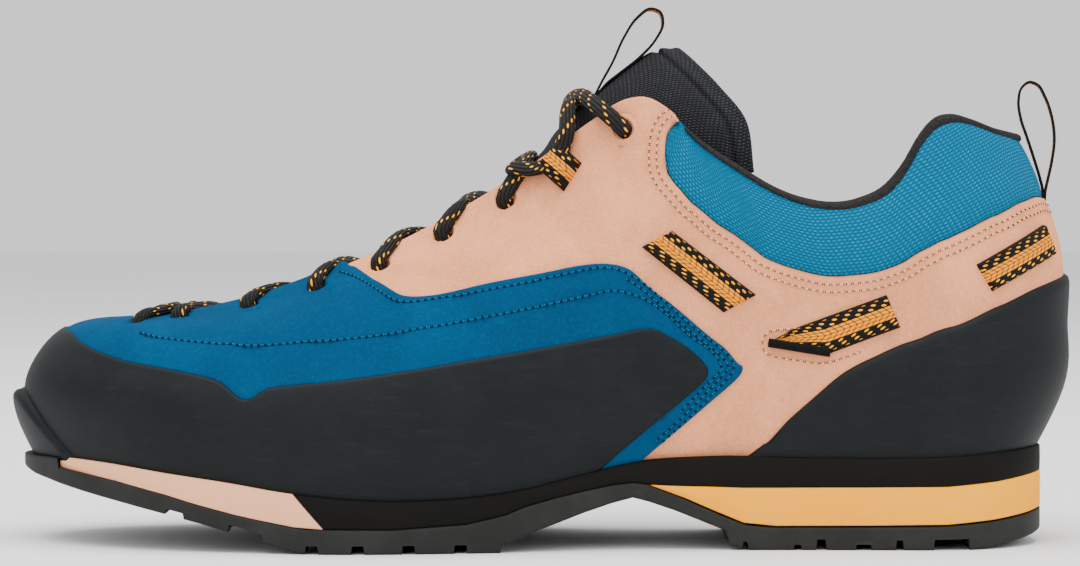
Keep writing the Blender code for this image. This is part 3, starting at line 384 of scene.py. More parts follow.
@dataclass(frozen=True)
class Pattern:
    """The panel lines of the upper: a grid of u and v that follows them."""

    # u at the sole, u above, v of rand or counter top, of the blue panel, of the collar mesh
    column: tuple = (
        (0.0, 0.0, 0.635, 0.74, 0.846), (0.035, 0.035, 0.617, 0.74, 0.85),
        (0.07, 0.07, 0.58, 0.715, 0.83), (0.105, 0.105, 0.5, 0.65, 0.778),
        (0.14, 0.14, 0.428, 0.6, 0.735), (0.175, 0.175, 0.43, 0.62, 0.78),
        (0.21, 0.208, 0.365, 0.6, 0.771), (0.235, 0.228, 0.305, 0.55, 0.765),
        (0.262, 0.256, 0.195, 0.48, 0.747), (0.286, 0.2785, 0.115, 0.42, 0.739),
        (0.3124, 0.299, 0.038, 0.37, 0.728), (0.358, 0.3095, 0.15, 0.33, 0.725),
        (0.4103, 0.3213, 0.28, 0.288, 0.737), (0.431, 0.338, 0.278, 0.338, 0.746),
        (0.4507, 0.353, 0.29, 0.366, 0.742), (0.4675, 0.3727, 0.325, 0.4, 0.748),
        (0.483, 0.387, 0.346, 0.425, 0.78), (0.498, 0.4072, 0.367, 0.465, 0.985),
        (0.518, 0.434, 0.369, 0.546, 0.988), (0.538, 0.47, 0.378, 0.598, 0.99),
        (0.56, 0.515, 0.389, 0.63, 0.99), (0.59, 0.56, 0.4, 0.662, 0.99),
        (0.622, 0.605, 0.411, 0.688, 0.99), (0.642, 0.6334, 0.416, 0.732, 0.99),
        (0.655, 0.65, 0.417, 0.86, 0.99), (0.666, 0.6575, 0.417, 0.976, 0.99),
        (0.7, 0.7, 0.411, 0.978, 0.99), (0.7397, 0.7397, 0.392, 0.978, 0.99),
        (0.7632, 0.7632, 0.319, 0.978, 0.99), (0.79, 0.79, 0.415, 0.978, 0.99),
        (0.82, 0.82, 0.458, 0.978, 0.99), (0.86, 0.86, 0.489, 0.978, 0.99),
        (0.8904, 0.8904, 0.539, 0.978, 0.99), (0.92, 0.92, 0.6, 0.978, 0.99),
        (0.945, 0.945, 0.65, 0.978, 0.99), (0.972, 0.972, 0.664, 0.978, 0.99),
        (1.0, 1.0, 0.667, 0.978, 0.99),
    )
    # place, u and v of the collar mesh edge, u at the top line, where the edge leans back
    ankle: tuple = (
        (12.0, 0.3223, 0.737, 0.319), (13.0, 0.338, 0.746, 0.329), (14.0, 0.3537, 0.742, 0.337),
        (15.0, 0.3727, 0.745, 0.344), (15.5, 0.383, 0.765, 0.348), (16.0, 0.39, 0.786, 0.352),
        (16.25, 0.3933, 0.815, 0.354), (16.5, 0.391, 0.85, 0.3565), (16.75, 0.38, 0.925, 0.359),
        (17.0, 0.3635, 0.985, 0.3615), (18.0, 0.42, 0.988, 0.419), (19.0, 0.468, 0.99, 0.468),
    )
    # place and how far its lower line bends back towards the toe at its tip
    bend: tuple = ((10, 0.0), (11, 0.002), (12, 0.0101), (13, 0.014), (14, 0.0194), (15, 0.01), (16, 0.0))
    tip: int = 14
    # depth and width of the notch between the blue band and the counter, counted in columns
    notch: tuple = (0.022, 0.2)
    # rows of the fine grid below, between and above the panel lines
    bands: tuple = (22, 18, 14, 20)
    # share of each band's rows that is spaced evenly, the rest crowds towards its lines
    even: float = 0.35

    @property
    def last(self) -> int:
        """Number of the last column, back at the heel."""
        return 2 * (len(self.column) - 1)

    def grid(self, s: Array) -> tuple[Array, Array]:
        """u and v of the fine grid at places s, counted in table columns.

        Each column runs from the sole through its panel lines to the top line. Between two
        lines u and v go straight, but the lowest band bends towards the toe at its end, and
        the band under the collar mesh leans back only near its upper line.

        Args:
            s: places, 0 at the heel, half of last at the toe.

        Returns:
            u and v, each places by rows.
        """
        n = self.last
        at = np.mod(s, n)
        turn = ((s - at) / n * 2)[:, None]
        half = np.array(self.column)
        place = np.arange(len(half))
        col = self.ring(at, place, half, (0, 1))
        col[:, :2] += turn
        near = np.minimum(at, n - at)
        col[:, 2] -= self.notch[0] * np.exp(-np.abs(near - self.tip) / self.notch[1])
        knots = np.array(self.bend)
        bend = (np.interp(near, knots[:, 0], knots[:, 1]) * np.where(at > n / 2, -1, 1))[:, None]
        lean = np.array(self.ankle)
        far = (place < lean[0, 0]) | (place > lean[-1, 0])
        plain = np.stack([place, half[:, 1], half[:, 4], half[:, 1]], 1)[far]
        table = np.vstack([plain, lean])
        table = table[np.argsort(table[:, 0])]
        side = self.ring(at, table[:, 0], table[:, 1:], (0, 2))
        side[:, [0, 2]] += turn
        foot, mid, edge, top = col[:, :1], col[:, 1:2], side[:, :1], side[:, 2:]
        lines = (np.zeros_like(mid), col[:, 2:3], col[:, 3:4], side[:, 1:2], np.ones_like(mid))
        us, vs = [], []
        for band, count in enumerate(self.bands):
            t = np.arange(1 if band else 0, count + 1) / count
            t = self.even * t + (1 - self.even) * (1 - np.cos(math.pi * t)) / 2
            vs.append(lines[band] * (1 - t) + lines[band + 1] * t)
            us.append((foot * (1 - t) + mid * t + bend * (t**10 - t), mid * (1 - t) + mid * t,
                       mid + (edge - mid) * t**6, edge * (1 - t) + top * t)[band])
        return np.hstack(us), np.hstack(vs)

    def ring(self, at: Array, place: Array, half: Array, turned: tuple) -> Array:
        """Interpolate a table of one side round the whole foot.

        Args:
            at: places, from 0 to last.
            place: places of the table's rows.
            half: its columns.
            turned: columns that hold a u.

        Returns:
            Values at each place.
        """
        n, over = self.last, 3
        inner = half[-2:0:-1].copy()
        inner[:, turned] = 2 - inner[:, turned]
        both = np.vstack([half, inner])
        where = np.concatenate([place, n - place[-2:0:-1]])
        before, after = both[-over:].copy(), both[:over].copy()
        before[:, turned] -= 2
        after[:, turned] += 2
        both = np.vstack([before, both, after])
        where = np.concatenate([where[-over:] - n, where, where[:over] + n])
        return np.stack([curve(at, where, both[:, k], True) for k in range(both.shape[1])], 1)


PATTERN = Pattern()
# u and v of the eyelets from the toe up; one of them is the tape loop
EYELETS = (
    (0.832, 0.914), (0.7535, 0.93), (0.6932, 0.919), (0.636, 0.927),
    (0.5775, 0.942), (0.5215, 0.941), (0.472, 0.965), (0.4183, 0.935),
)
LOOP_EYELET = 6
TOE_HOLE = (0.8863, 0.82)
HOLES = tuple(at for k, at in enumerate(EYELETS) if k != LOOP_EYELET) + (TOE_HOLE,)
# u from which holes lie in the blue panel, and the height of that panel's face
BLUE_FROM = 0.66
BLUE_FACE = 1.2
# height of the border of every panel that lies on the form
BORDER = -0.05


@dataclass(frozen=True, eq=False)
class Value:
    """A number in a shader graph; arithmetic on it adds Math nodes."""

    graph: "Graph"
    socket: bpy.types.NodeSocket

    def math(self, how: str, *others: "Value | float") -> "Value":
        """Result of a Math node whose first operand is this value."""
        return self.graph.math(how, self, *others)

    def __add__(self, other: "Value | float") -> "Value":
        """Sum."""
        return self.math("ADD", other)

    def __radd__(self, other: float) -> "Value":
        """Sum with a number on the left."""
        return self.graph.math("ADD", other, self)

    def __sub__(self, other: "Value | float") -> "Value":
        """Difference."""
        return self.math("SUBTRACT", other)

    def __rsub__(self, other: float) -> "Value":
        """Difference with a number on the left."""
        return self.graph.math("SUBTRACT", other, self)

    def __mul__(self, other: "Value | float") -> "Value":
        """Product."""
        return self.math("MULTIPLY", other)

    def __rmul__(self, other: float) -> "Value":
        """Product with a number on the left."""
        return self.graph.math("MULTIPLY", other, self)

    def __truediv__(self, other: "Value | float") -> "Value":
        """Quotient."""
        return self.math("DIVIDE", other)

    def __rtruediv__(self, other: float) -> "Value":
        """Quotient with a number on the left."""
        return self.graph.math("DIVIDE", other, self)

    def __abs__(self) -> "Value":
        """Size without sign."""
        return self.math("ABSOLUTE")

    def wave(self) -> "Value":
        """Cosine wave from 0 to 1 with a period of one."""
        return (self * (2 * math.pi)).math("COSINE") * 0.5 + 0.5

    def arch(self) -> "Value":
        """Half sine from 0 over 1 to 0 within each whole number."""
        return (self.math("FRACT") * math.pi).math("SINE")

    def between(self, low: float, high: float) -> "Value":
        """Soft step from 0 at low to 1 at high.

        Args:
            low: value where it leaves 0.
            high: value where it reaches 1.

        Returns:
            The step.
        """
        node = self.graph.add("ShaderNodeMapRange", {"interpolation_type": "SMOOTHSTEP"},
                              {"Value": self, "From Min": low, "From Max": high})
        return Value(self.graph, node.outputs["Result"])


class Graph:
    """Node graph of one material."""

    def __init__(self, name: str) -> None:
        """Start a material with a Principled shader.

        Args:
            name: the material's name.
        """
        self.material = bpy.data.materials.new(name)
        self.material.use_nodes = True
        self.tree = self.material.node_tree
        self.shader = self.tree.nodes["Principled BSDF"]

    def feed(self, node: bpy.types.Node, inputs: dict) -> None:
        """Set or link sockets of a node.

        Args:
            node: the node.
            inputs: socket name or number to number, colour, Value or socket.
        """
        for name, item in inputs.items():
            if isinstance(item, Value):
                item = item.socket
            if isinstance(item, bpy.types.NodeSocket):
                self.tree.links.new(item, node.inputs[name])
            else:
                node.inputs[name].default_value = item

    def add(self, kind: str, settings: dict, inputs: dict) -> bpy.types.Node:
        """Add any node.

        Args:
            kind: node type.
            settings: its properties, set first.
            inputs: its sockets, as feed takes them.

        Returns:
            The node.
        """
        node = self.tree.nodes.new(kind)
        for name, value in settings.items():
            setattr(node, name, value)
        self.feed(node, inputs)
        return node

    def math(self, how: str, *items: Value | float) -> Value:
        """Result of a Math node."""
        node = self.add("ShaderNodeMath", {"operation": how}, dict(enumerate(items)))
        return Value(self, node.outputs[0])

    def place(self) -> bpy.types.NodeSocket:
        """Object coordinates, in metres."""
        return self.add("ShaderNodeTexCoord", {}, {}).outputs["Object"]

    def map(self) -> tuple[Value, Value]:
        """Read the piece's own map.

        Returns:
            Millimetres along and across the piece.
        """
        uv = self.add("ShaderNodeUVMap", {"uv_map": "UVMap"}, {}).outputs["UV"]
        parts = self.add("ShaderNodeSeparateXYZ", {}, {"Vector": uv})
        return Value(self, parts.outputs["X"]), Value(self, parts.outputs["Y"])

    def noise(self, scale: float, detail: float, rough: float, where: bpy.types.NodeSocket = None) -> Value:
        """Noise from 0 to 1 on object coordinates.

        Args:
            scale: waves per metre.
            detail: octaves.
            rough: weight of the fine octaves.
            where: other coordinates.

        Returns:
            The noise value.
        """
        node = self.add("ShaderNodeTexNoise", {}, {"Vector": where or self.place(), "Scale": scale,
                                                   "Detail": detail, "Roughness": rough})
        return Value(self, node.outputs["Fac"])

    def mix(self, share: Value | float, a: object, b: object) -> bpy.types.NodeSocket:
        """Mix two colours.

        Args:
            share: 0 for a, 1 for b.
            a: colour or socket.
            b: colour or socket.

        Returns:
            Colour socket.
        """
        return self.add("ShaderNodeMix", {"data_type": "RGBA"}, {0: share, 6: a, 7: b}).outputs[2]

    def done(self, colour: bpy.types.NodeSocket, rough: Value | float, height: Value,
             depth: float, shine: float) -> bpy.types.Material:
        """Feed the shader.

        Args:
            colour: base colour.
            rough: roughness.
            height: bump height from 0 to 1.
            depth: size of the bump in metres.
            shine: specular level.

        Returns:
            The finished material.
        """
        bump = self.add("ShaderNodeBump", {}, {"Height": height, "Distance": depth, "Strength": 1.0})
        self.feed(self.shader, {"Base Color": colour, "Roughness": rough, "Specular IOR Level": shine,
                                "Normal": bump.outputs["Normal"]})
        return self.material


def rgb(code: str) -> tuple[float, float, float, float]:
    """Linear colour of a hex code, with full alpha.

    Args:
        code: six hex digits.

    Returns:
        Red, green, blue and alpha.
    """
    parts = [int(code[i:i + 2], 16) / 255 for i in (0, 2, 4)]
    return (*(c / 12.92 if c <= 0.04045 else ((c + 0.055) / 1.055)**2.4 for c in parts), 1.0)


@dataclass(frozen=True)
class Suede:
    """Napped suede: brushed patches, then nap, then fine grain."""

    name: str
    main: str
    light: str
    dark: str
    depth: float = 0.00022

    def build(self) -> bpy.types.Material:
        """Make the material.

        Returns:
            The material.
        """
        g = Graph(self.name)
        patches = g.noise(42.0, 4.0, 0.62)
        nap = g.noise(900.0, 4.0, 0.8)
        grain = g.noise(2200.0, 2.0, 0.6)
        tone = g.mix(patches.between(0.36, 0.68) * 0.5 + 0.5, rgb(self.dark), rgb(self.main))
        tone = g.mix(nap.between(0.45, 0.75) * 0.4, tone, rgb(self.light))
        tone = g.mix(grain.between(0.52, 0.68) * 0.45, tone, rgb(self.dark))
        return g.done(tone, 0.96, nap * 0.7 + grain * 0.5, self.depth, 0.08)


@dataclass(frozen=True)
class Rubber:
    """Matt rubber: cloudy tone, streaks along the foot, dust and a fine skin."""

    name: str
    main: str
    light: str
    rough: float
    depth: float = 0.00006
    streak: str = "262c2f"
    dust: str = "4b5052"
    # how much the streaks' coordinates are drawn out
    drawn: tuple = (0.22, 0.5, 1.5)

    def build(self) -> bpy.types.Material:
        """Make the material.

        Returns:
            The material.
        """
        g = Graph(self.name)
        cloud = g.noise(55.0, 5.0, 0.65)
        skin = g.noise(1500.0, 3.0, 0.6)
        dust = g.noise(2600.0, 1.0, 0.5)
        drawn = g.add("ShaderNodeVectorMath", {"operation": "MULTIPLY"}, {0: g.place(), 1: self.drawn})
        streak = g.noise(420.0, 5.0, 0.75, drawn.outputs[0])
        tone = g.mix(cloud.between(0.35, 0.75) * 0.7, rgb(self.main), rgb(self.light))
        tone = g.mix(streak.between(0.5, 0.75) * 0.22, tone, rgb(self.streak))
        tone = g.mix(dust.between(0.7, 0.8) * 0.25, tone, rgb(self.dust))
        return g.done(tone, cloud * 0.16 + (self.rough - 0.08), skin, self.depth, 0.16)


@dataclass(frozen=True)
class Weave:
    """Ribbed air mesh: slanting rows of short bright stitches on a darker ground, which is partly the mesh's
    own colour and partly painted shade between the threads.
    """

    name: str
    bright: str
    main: str
    # colour between the threads: partly the mesh's own ground, partly painted shade
    ground: str
    row: float
    stitch: float
    slant: float
    depth: float

    def build(self) -> bpy.types.Material:
        """Make the material: each row is a half sine across and a cosine along.

        Returns:
            The material.
        """
        g = Graph(self.name)
        along, across = g.map()
        wobble = g.noise(90.0, 2.0, 0.5) - 0.5
        rows = (across + wobble * 0.6) / self.row
        line = (along + across * self.slant + wobble * 0.8) / self.stitch + rows.math("FLOOR") * 0.5
        thread = rows.arch() * (line.wave() * 0.75 + 0.25)
        fibre = g.noise(2300.0, 2.0, 0.6)
        # darker where the threads sink: partly the mesh's own ground, partly painted shade between the
        # threads
        tone = g.mix(thread.between(0.1, 0.55), rgb(self.ground), rgb(self.main))
        spark = g.noise(420.0, 2.0, 0.6).between(0.45, 0.65)
        tone = g.mix(thread.between(0.65, 0.98) * (fibre * 0.3 + spark * 0.7), tone, rgb(self.bright))
        return g.done(tone, 0.85, thread + fibre * 0.25, self.depth, 0.1)


@dataclass(frozen=True)
class Braid:
    """Round braided cord with light flecks."""

    name: str
    main: str
    fleck: str
    # near-black in the grooves between strands and links: painted shade
    groove_shade: str = "020202"
    pitch: float = 2.4
    strands: int = 12
    lag: float = 0.37
    depth: float = 0.0005

    def build(self) -> bpy.types.Material:
        """Make the material: strands side by side, each a row of lens-shaped links, darker towards the
        grooves between them as painted shade.

        Returns:
            The material.
        """
        g = Graph(self.name)
        along, around = g.map()
        lane = around * self.strands
        number = lane.math("FLOOR")
        across = lane.arch()
        beat = along / self.pitch + number * self.lag
        link = beat.arch()
        fibre = g.noise(2500.0, 2.0, 0.6)
        cell = across * (link * 0.5 + 0.5)
        turn = (beat.math("FLOOR") + number * 2.0).math("FLOORED_MODULO", 3.0)
        chosen = (0.5 - turn).math("SIGN").math("MAXIMUM", 0.0)
        spot = chosen * (link * across).between(0.6, 0.85)
        # the groove colour where strands and links sink is painted shade
        shade = g.mix(cell.between(0.05, 0.8), rgb(self.groove_shade), rgb(self.main))
        tone = g.mix(spot * (fibre.between(0.3, 0.5) * 0.5 + 0.5), shade, rgb(self.fleck))
        return g.done(tone, 0.7, cell + fibre * 0.2, self.depth, 0.25)


@dataclass(frozen=True)
class Tape:
    """Woven tape: light middle stripe between dark flecked edges."""

    name: str
    middle: str
    edge: str
    fleck: str
    stripe: float = 0.36
    # darker orange between the knots: painted shade of the weave
    groove_shade: str = "8a4400"
    width: float = 10.0
    rib: float = 1.9
    depth: float = 0.0004

    def build(self) -> bpy.types.Material:
        """Make the material: chevron ribs crossed by lanes of one millimetre.

        Returns:
            The material.
        """
        g = Graph(self.name)
        along, across = g.map()
        off = abs(across / self.width - 0.5) * 2
        one = (along + abs(across - self.width / 2) * 0.9) / self.rib
        knot = one.arch() * across.arch()
        pick = (one.math("FLOOR") + across.math("FLOOR")).math("FLOORED_MODULO", 2.0)
        fleck = (0.5 - abs(pick - 1.0)).math("SIGN").math("MAXIMUM", 0.0) * knot.between(0.42, 0.66)
        dark = g.mix(fleck * off.between(self.stripe, self.stripe + 0.05), rgb(self.edge), rgb(self.fleck))
        # the groove colour between the knots is painted shade; the middle colour is the tape's own
        light = g.mix(knot.between(0.06, 0.42), rgb(self.groove_shade), rgb(self.middle))
        tone = g.mix(off.between(self.stripe - 0.02, self.stripe + 0.02), light, dark)
        tone = g.mix(off.between(0.84, 0.9), tone, rgb(self.edge))
        return g.done(tone, 0.82, knot, self.depth, 0.2)


@dataclass(frozen=True)
class Plain:
    """Plain cloth, felt or floor, from its darker to its own tone by a noise."""

    name: str
    main: str
    dark: str
    rough: float = 0.9
    grain: float = 1400.0
    depth: float = 0.00015

    def build(self) -> bpy.types.Material:
        """Make the material.

        Returns:
            The material.
        """
        g = Graph(self.name)
        fibre = g.noise(self.grain, 3.0, 0.65)
        tone = g.mix(fibre.between(0.4, 0.65), rgb(self.dark), rgb(self.main))
        return g.done(tone, self.rough, fibre, self.depth, 0.2)


@dataclass(frozen=True)
class Foam:
    """Moulded foam with a faint pebble."""

    name: str
    main: str
    dark: str
    depth: float = 0.00005

    def build(self) -> bpy.types.Material:
        """Make the material.

        Returns:
            The material.
        """
        g = Graph(self.name)
        cloud = g.noise(30.0, 3.0, 0.6)
        pebble = g.noise(1100.0, 2.0, 0.5)
        tone = g.mix(cloud.between(0.3, 0.8) * 0.5, rgb(self.main), rgb(self.dark))
        return g.done(tone, 0.75, pebble, self.depth, 0.12)


@dataclass(frozen=True)
class Thread:
    """Sewing thread: each stitch with its own colour at both ends, which on the tan thread is painted shade
    of the needle holes.
    """

    name: str
    main: str
    # colour at both ends of each stitch: where dark, as on the tan thread, painted shade of the needle holes
    ends: str
    half: float
    depth: float = 0.0001

    def build(self) -> bpy.types.Material:
        """Make the material.

        Returns:
            The material.
        """
        g = Graph(self.name)
        fibre = g.noise(900.0, 2.0, 0.6)
        far = abs(g.map()[0]) / self.half + (fibre - 0.5) * 0.3
        # the ends colour at both ends of each stitch; dark on the tan thread as painted needle-hole shade
        tone = g.mix(far.between(0.48, 0.72), rgb(self.main), rgb(self.ends))
        return g.done(tone, 0.85, fibre, self.depth, 0.1)


class Finishes:
    """All the materials of the shoe, made once."""

    def __init__(self) -> None:
        """Make every finish."""
        self.tan = Suede("suede_tan", "ee9d6f", "ffba92", "be7a55").build()
        self.blue = Suede("suede_blue", "004267", "005a80", "003353").build()
        self.rand = Rubber("rubber_rand", "0b0f11", "14181b", 0.6).build()
        self.sole = Rubber("rubber_sole", "1e1f1d", "2b2d2b", 0.64, 0.00009).build()
        self.black = Foam("foam_black", "0b0a08", "12110f").build()
        self.yellow = Foam("foam_yellow", "ffac00", "f89800").build()
        self.wedge = Foam("foam_tan", "f0b088", "df9b72").build()
        self.mesh = Weave("mesh_collar", "0b8bb4", "00688f", "00506e", 0.95, 1.5, 0.35, 0.00022).build()
        self.knit = Weave("knit_tongue", "48494c", "2a2b2e", "151517", 0.9, 1.3, 0.6, 0.0003).build()
        self.lining = Plain("lining", "262422", "181615").build()
        self.felt = Plain("felt", "2a2a2c", "1b1b1d").build()
        self.lace = Braid("lace_braid", "161513", "ffb000").build()
        self.tape = Tape("tape_woven", "fb9a00", "0a0908", "ffa800").build()
        self.loop = Tape("tape_loop", "fb9a00", "0a0908", "ffa800", 0.34).build()
        # its dark ends are painted shade in the needle holes
        self.thread_tan = Thread("thread_tan", "eaa67e", "3c2216", 0.9).build()
        self.thread_blue = Thread("thread_blue", "01203a", "14648c", 0.85).build()
        # near-black: painted shade inside the eyelet holes, and the real black of the piping
        self.hole = Plain("eyelet_dark", "0b0a0a", "040404", 0.95).build()
        self.floor = Plain("studio_floor", "f4f4f4", "f1f1f1", 0.9, 3.0, 0.0).build()


@dataclass(frozen=True)
class Piece:
    """A named visible piece that rides on the shoe's one body."""

    name: str
    slot: str
    nodes: tuple = ()

    def corners(self, shape: tuple, cells: Array, wrap: tuple) -> tuple[Array, Array]:
        """Corner numbers of the kept cells of a grid.

        Args:
            shape: rows and columns of points.
            cells: which cells are kept, all if None.
            wrap: whether rows and columns close on themselves.

        Returns:
            For each cell its four points, joined where the grid closes, and not joined.
        """
        rows, cols = shape
        i, j = np.nonzero(np.ones((rows - 1, cols - 1), bool) if cells is None else cells)
        i, j = np.stack([i, i + 1, i + 1, i], 1), np.stack([j, j, j + 1, j + 1], 1)
        raw = i * cols + j
        i = i % (rows - 1) if wrap[0] else i
        j = j % (cols - 1) if wrap[1] else j
        return i * cols + j, raw

    def make(self, points: Array, material: bpy.types.Material, uv: Array = None, cells: Array = None,
             wrap: tuple = (False, False), away: Array = None, caps: bool = False) -> bpy.types.Object:
        """Build the piece from a grid of points.

        Args:
            points: rows x columns x 3, millimetres; a wrapped axis repeats its first line at its end.
            material: finish.
            uv: rows x columns x 2, millimetres; lengths along both axes if None.
            cells: which cells are kept, all if None.
            wrap: whether rows and columns close on themselves.
            away: reference direction for the outside, or None for a closed shape.
            caps: close the first and last row with one face each.

        Returns:
            The new object.
        """
        uv = own_map(points) if uv is None else uv
        rows, cols = points.shape[:2]
        index, raw = self.corners((rows, cols), cells, wrap)
        flat = points.reshape(-1, 3)
        a, b, c, d = (flat[index[:, k]] for k in range(4))
        if away is None:
            flip = np.sum(a * np.cross(b, c)) + np.sum(a * np.cross(c, d)) < 0
        else:
            outside = np.broadcast_to(away, points.shape).reshape(-1, 3)[index[:, 0]]
            flip = np.sum(np.cross(c - a, d - b) * outside) < 0
        if flip:
            index, raw = index[:, ::-1], raw[:, ::-1]
        loops, looped, sizes = [index.ravel()], [raw.ravel()], [np.full(len(index), 4)]
        for row, back in ((0, not flip), (rows - 1, flip)) if caps else ():
            ring = row * cols + np.arange(cols - 1)
            ring = ring if back else ring[::-1]
            loops.append(ring)
            looped.append(ring)
            sizes.append(np.array([cols - 1]))
        loops, looped, sizes = np.concatenate(loops), np.concatenate(looped), np.concatenate(sizes)
        used, loops = np.unique(loops, return_inverse=True)
        mesh = bpy.data.meshes.new(self.name)
        mesh.vertices.add(len(used))
        mesh.vertices.foreach_set("co", (flat[used] * MM).astype(np.float32).ravel())
        mesh.loops.add(len(loops))
        mesh.loops.foreach_set("vertex_index", loops.astype(np.int32).ravel())
        mesh.polygons.add(len(sizes))
        starts = np.concatenate([[0], np.cumsum(sizes)[:-1]])
        mesh.polygons.foreach_set("loop_start", starts.astype(np.int32))
        mesh.polygons.foreach_set("use_smooth", np.ones(len(sizes), bool))
        mesh.update(calc_edges=True)
        layer = mesh.uv_layers.new(name="UVMap")
        layer.data.foreach_set("uv", uv.reshape(-1, 2)[looped].astype(np.float32).ravel())
        mesh.validate()
        mesh.materials.append(material)
        thing = bpy.data.objects.new(self.name, mesh)
        bpy.context.scene.collection.objects.link(thing)
        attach(thing, "root")
        if self.nodes:
            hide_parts(*self.nodes)
        LOG.info("%s: %d faces", self.name, len(sizes))
        return thing


@dataclass(frozen=True)
class Wall:
    """Thickness of the upper's wall: thin quarter, padded round the ankle."""

    thin: float = 2.4
    pad: float = 4.4
    # share of the pad that stays at the top line, and the rounding below it in v
    left: float = 0.55
    rounding: float = 0.08

    def at(self, u: Array, v: Array) -> Array:
        """Thickness at places of the upper: soft steps along and up times the pad.

        Args:
            u: places round the foot.
            v: heights from 0 to 1.

        Returns:
            Thickness in millimetres.
        """
        u = np.mod(u, 2)
        w = np.where(u <= 1, u, 2 - u)
        part = ease((0.40 - w) / 0.07) * ease((v - 0.52) / 0.22)
        return self.thin + self.pad * part * (
            self.left + (1 - self.left) * np.clip((1.0 - v) / self.rounding, 0, 1))


WALL = Wall()
# u, v, half length along, half length up, turn and height of each crease, and whether both sides have it
CREASE = (
    (0.76, 0.72, 3.0, 16.0, 20.0, -0.7, True), (0.7, 0.7, 3.5, 18.0, 15.0, -0.6, True),
    (0.845, 0.76, 3.5, 14.0, 30.0, -0.5, True), (0.64, 0.62, 3.0, 14.0, 10.0, -0.5, True),
    (0.905, 0.84, 9.0, 7.0, 0.0, 0.5, False), (0.56, 0.5, 3.0, 11.0, -15.0, -0.5, True),
    (0.48, 0.55, 3.0, 12.0, -20.0, -0.5, True), (0.3, 0.55, 9.0, 5.0, 10.0, -0.4, False),
)


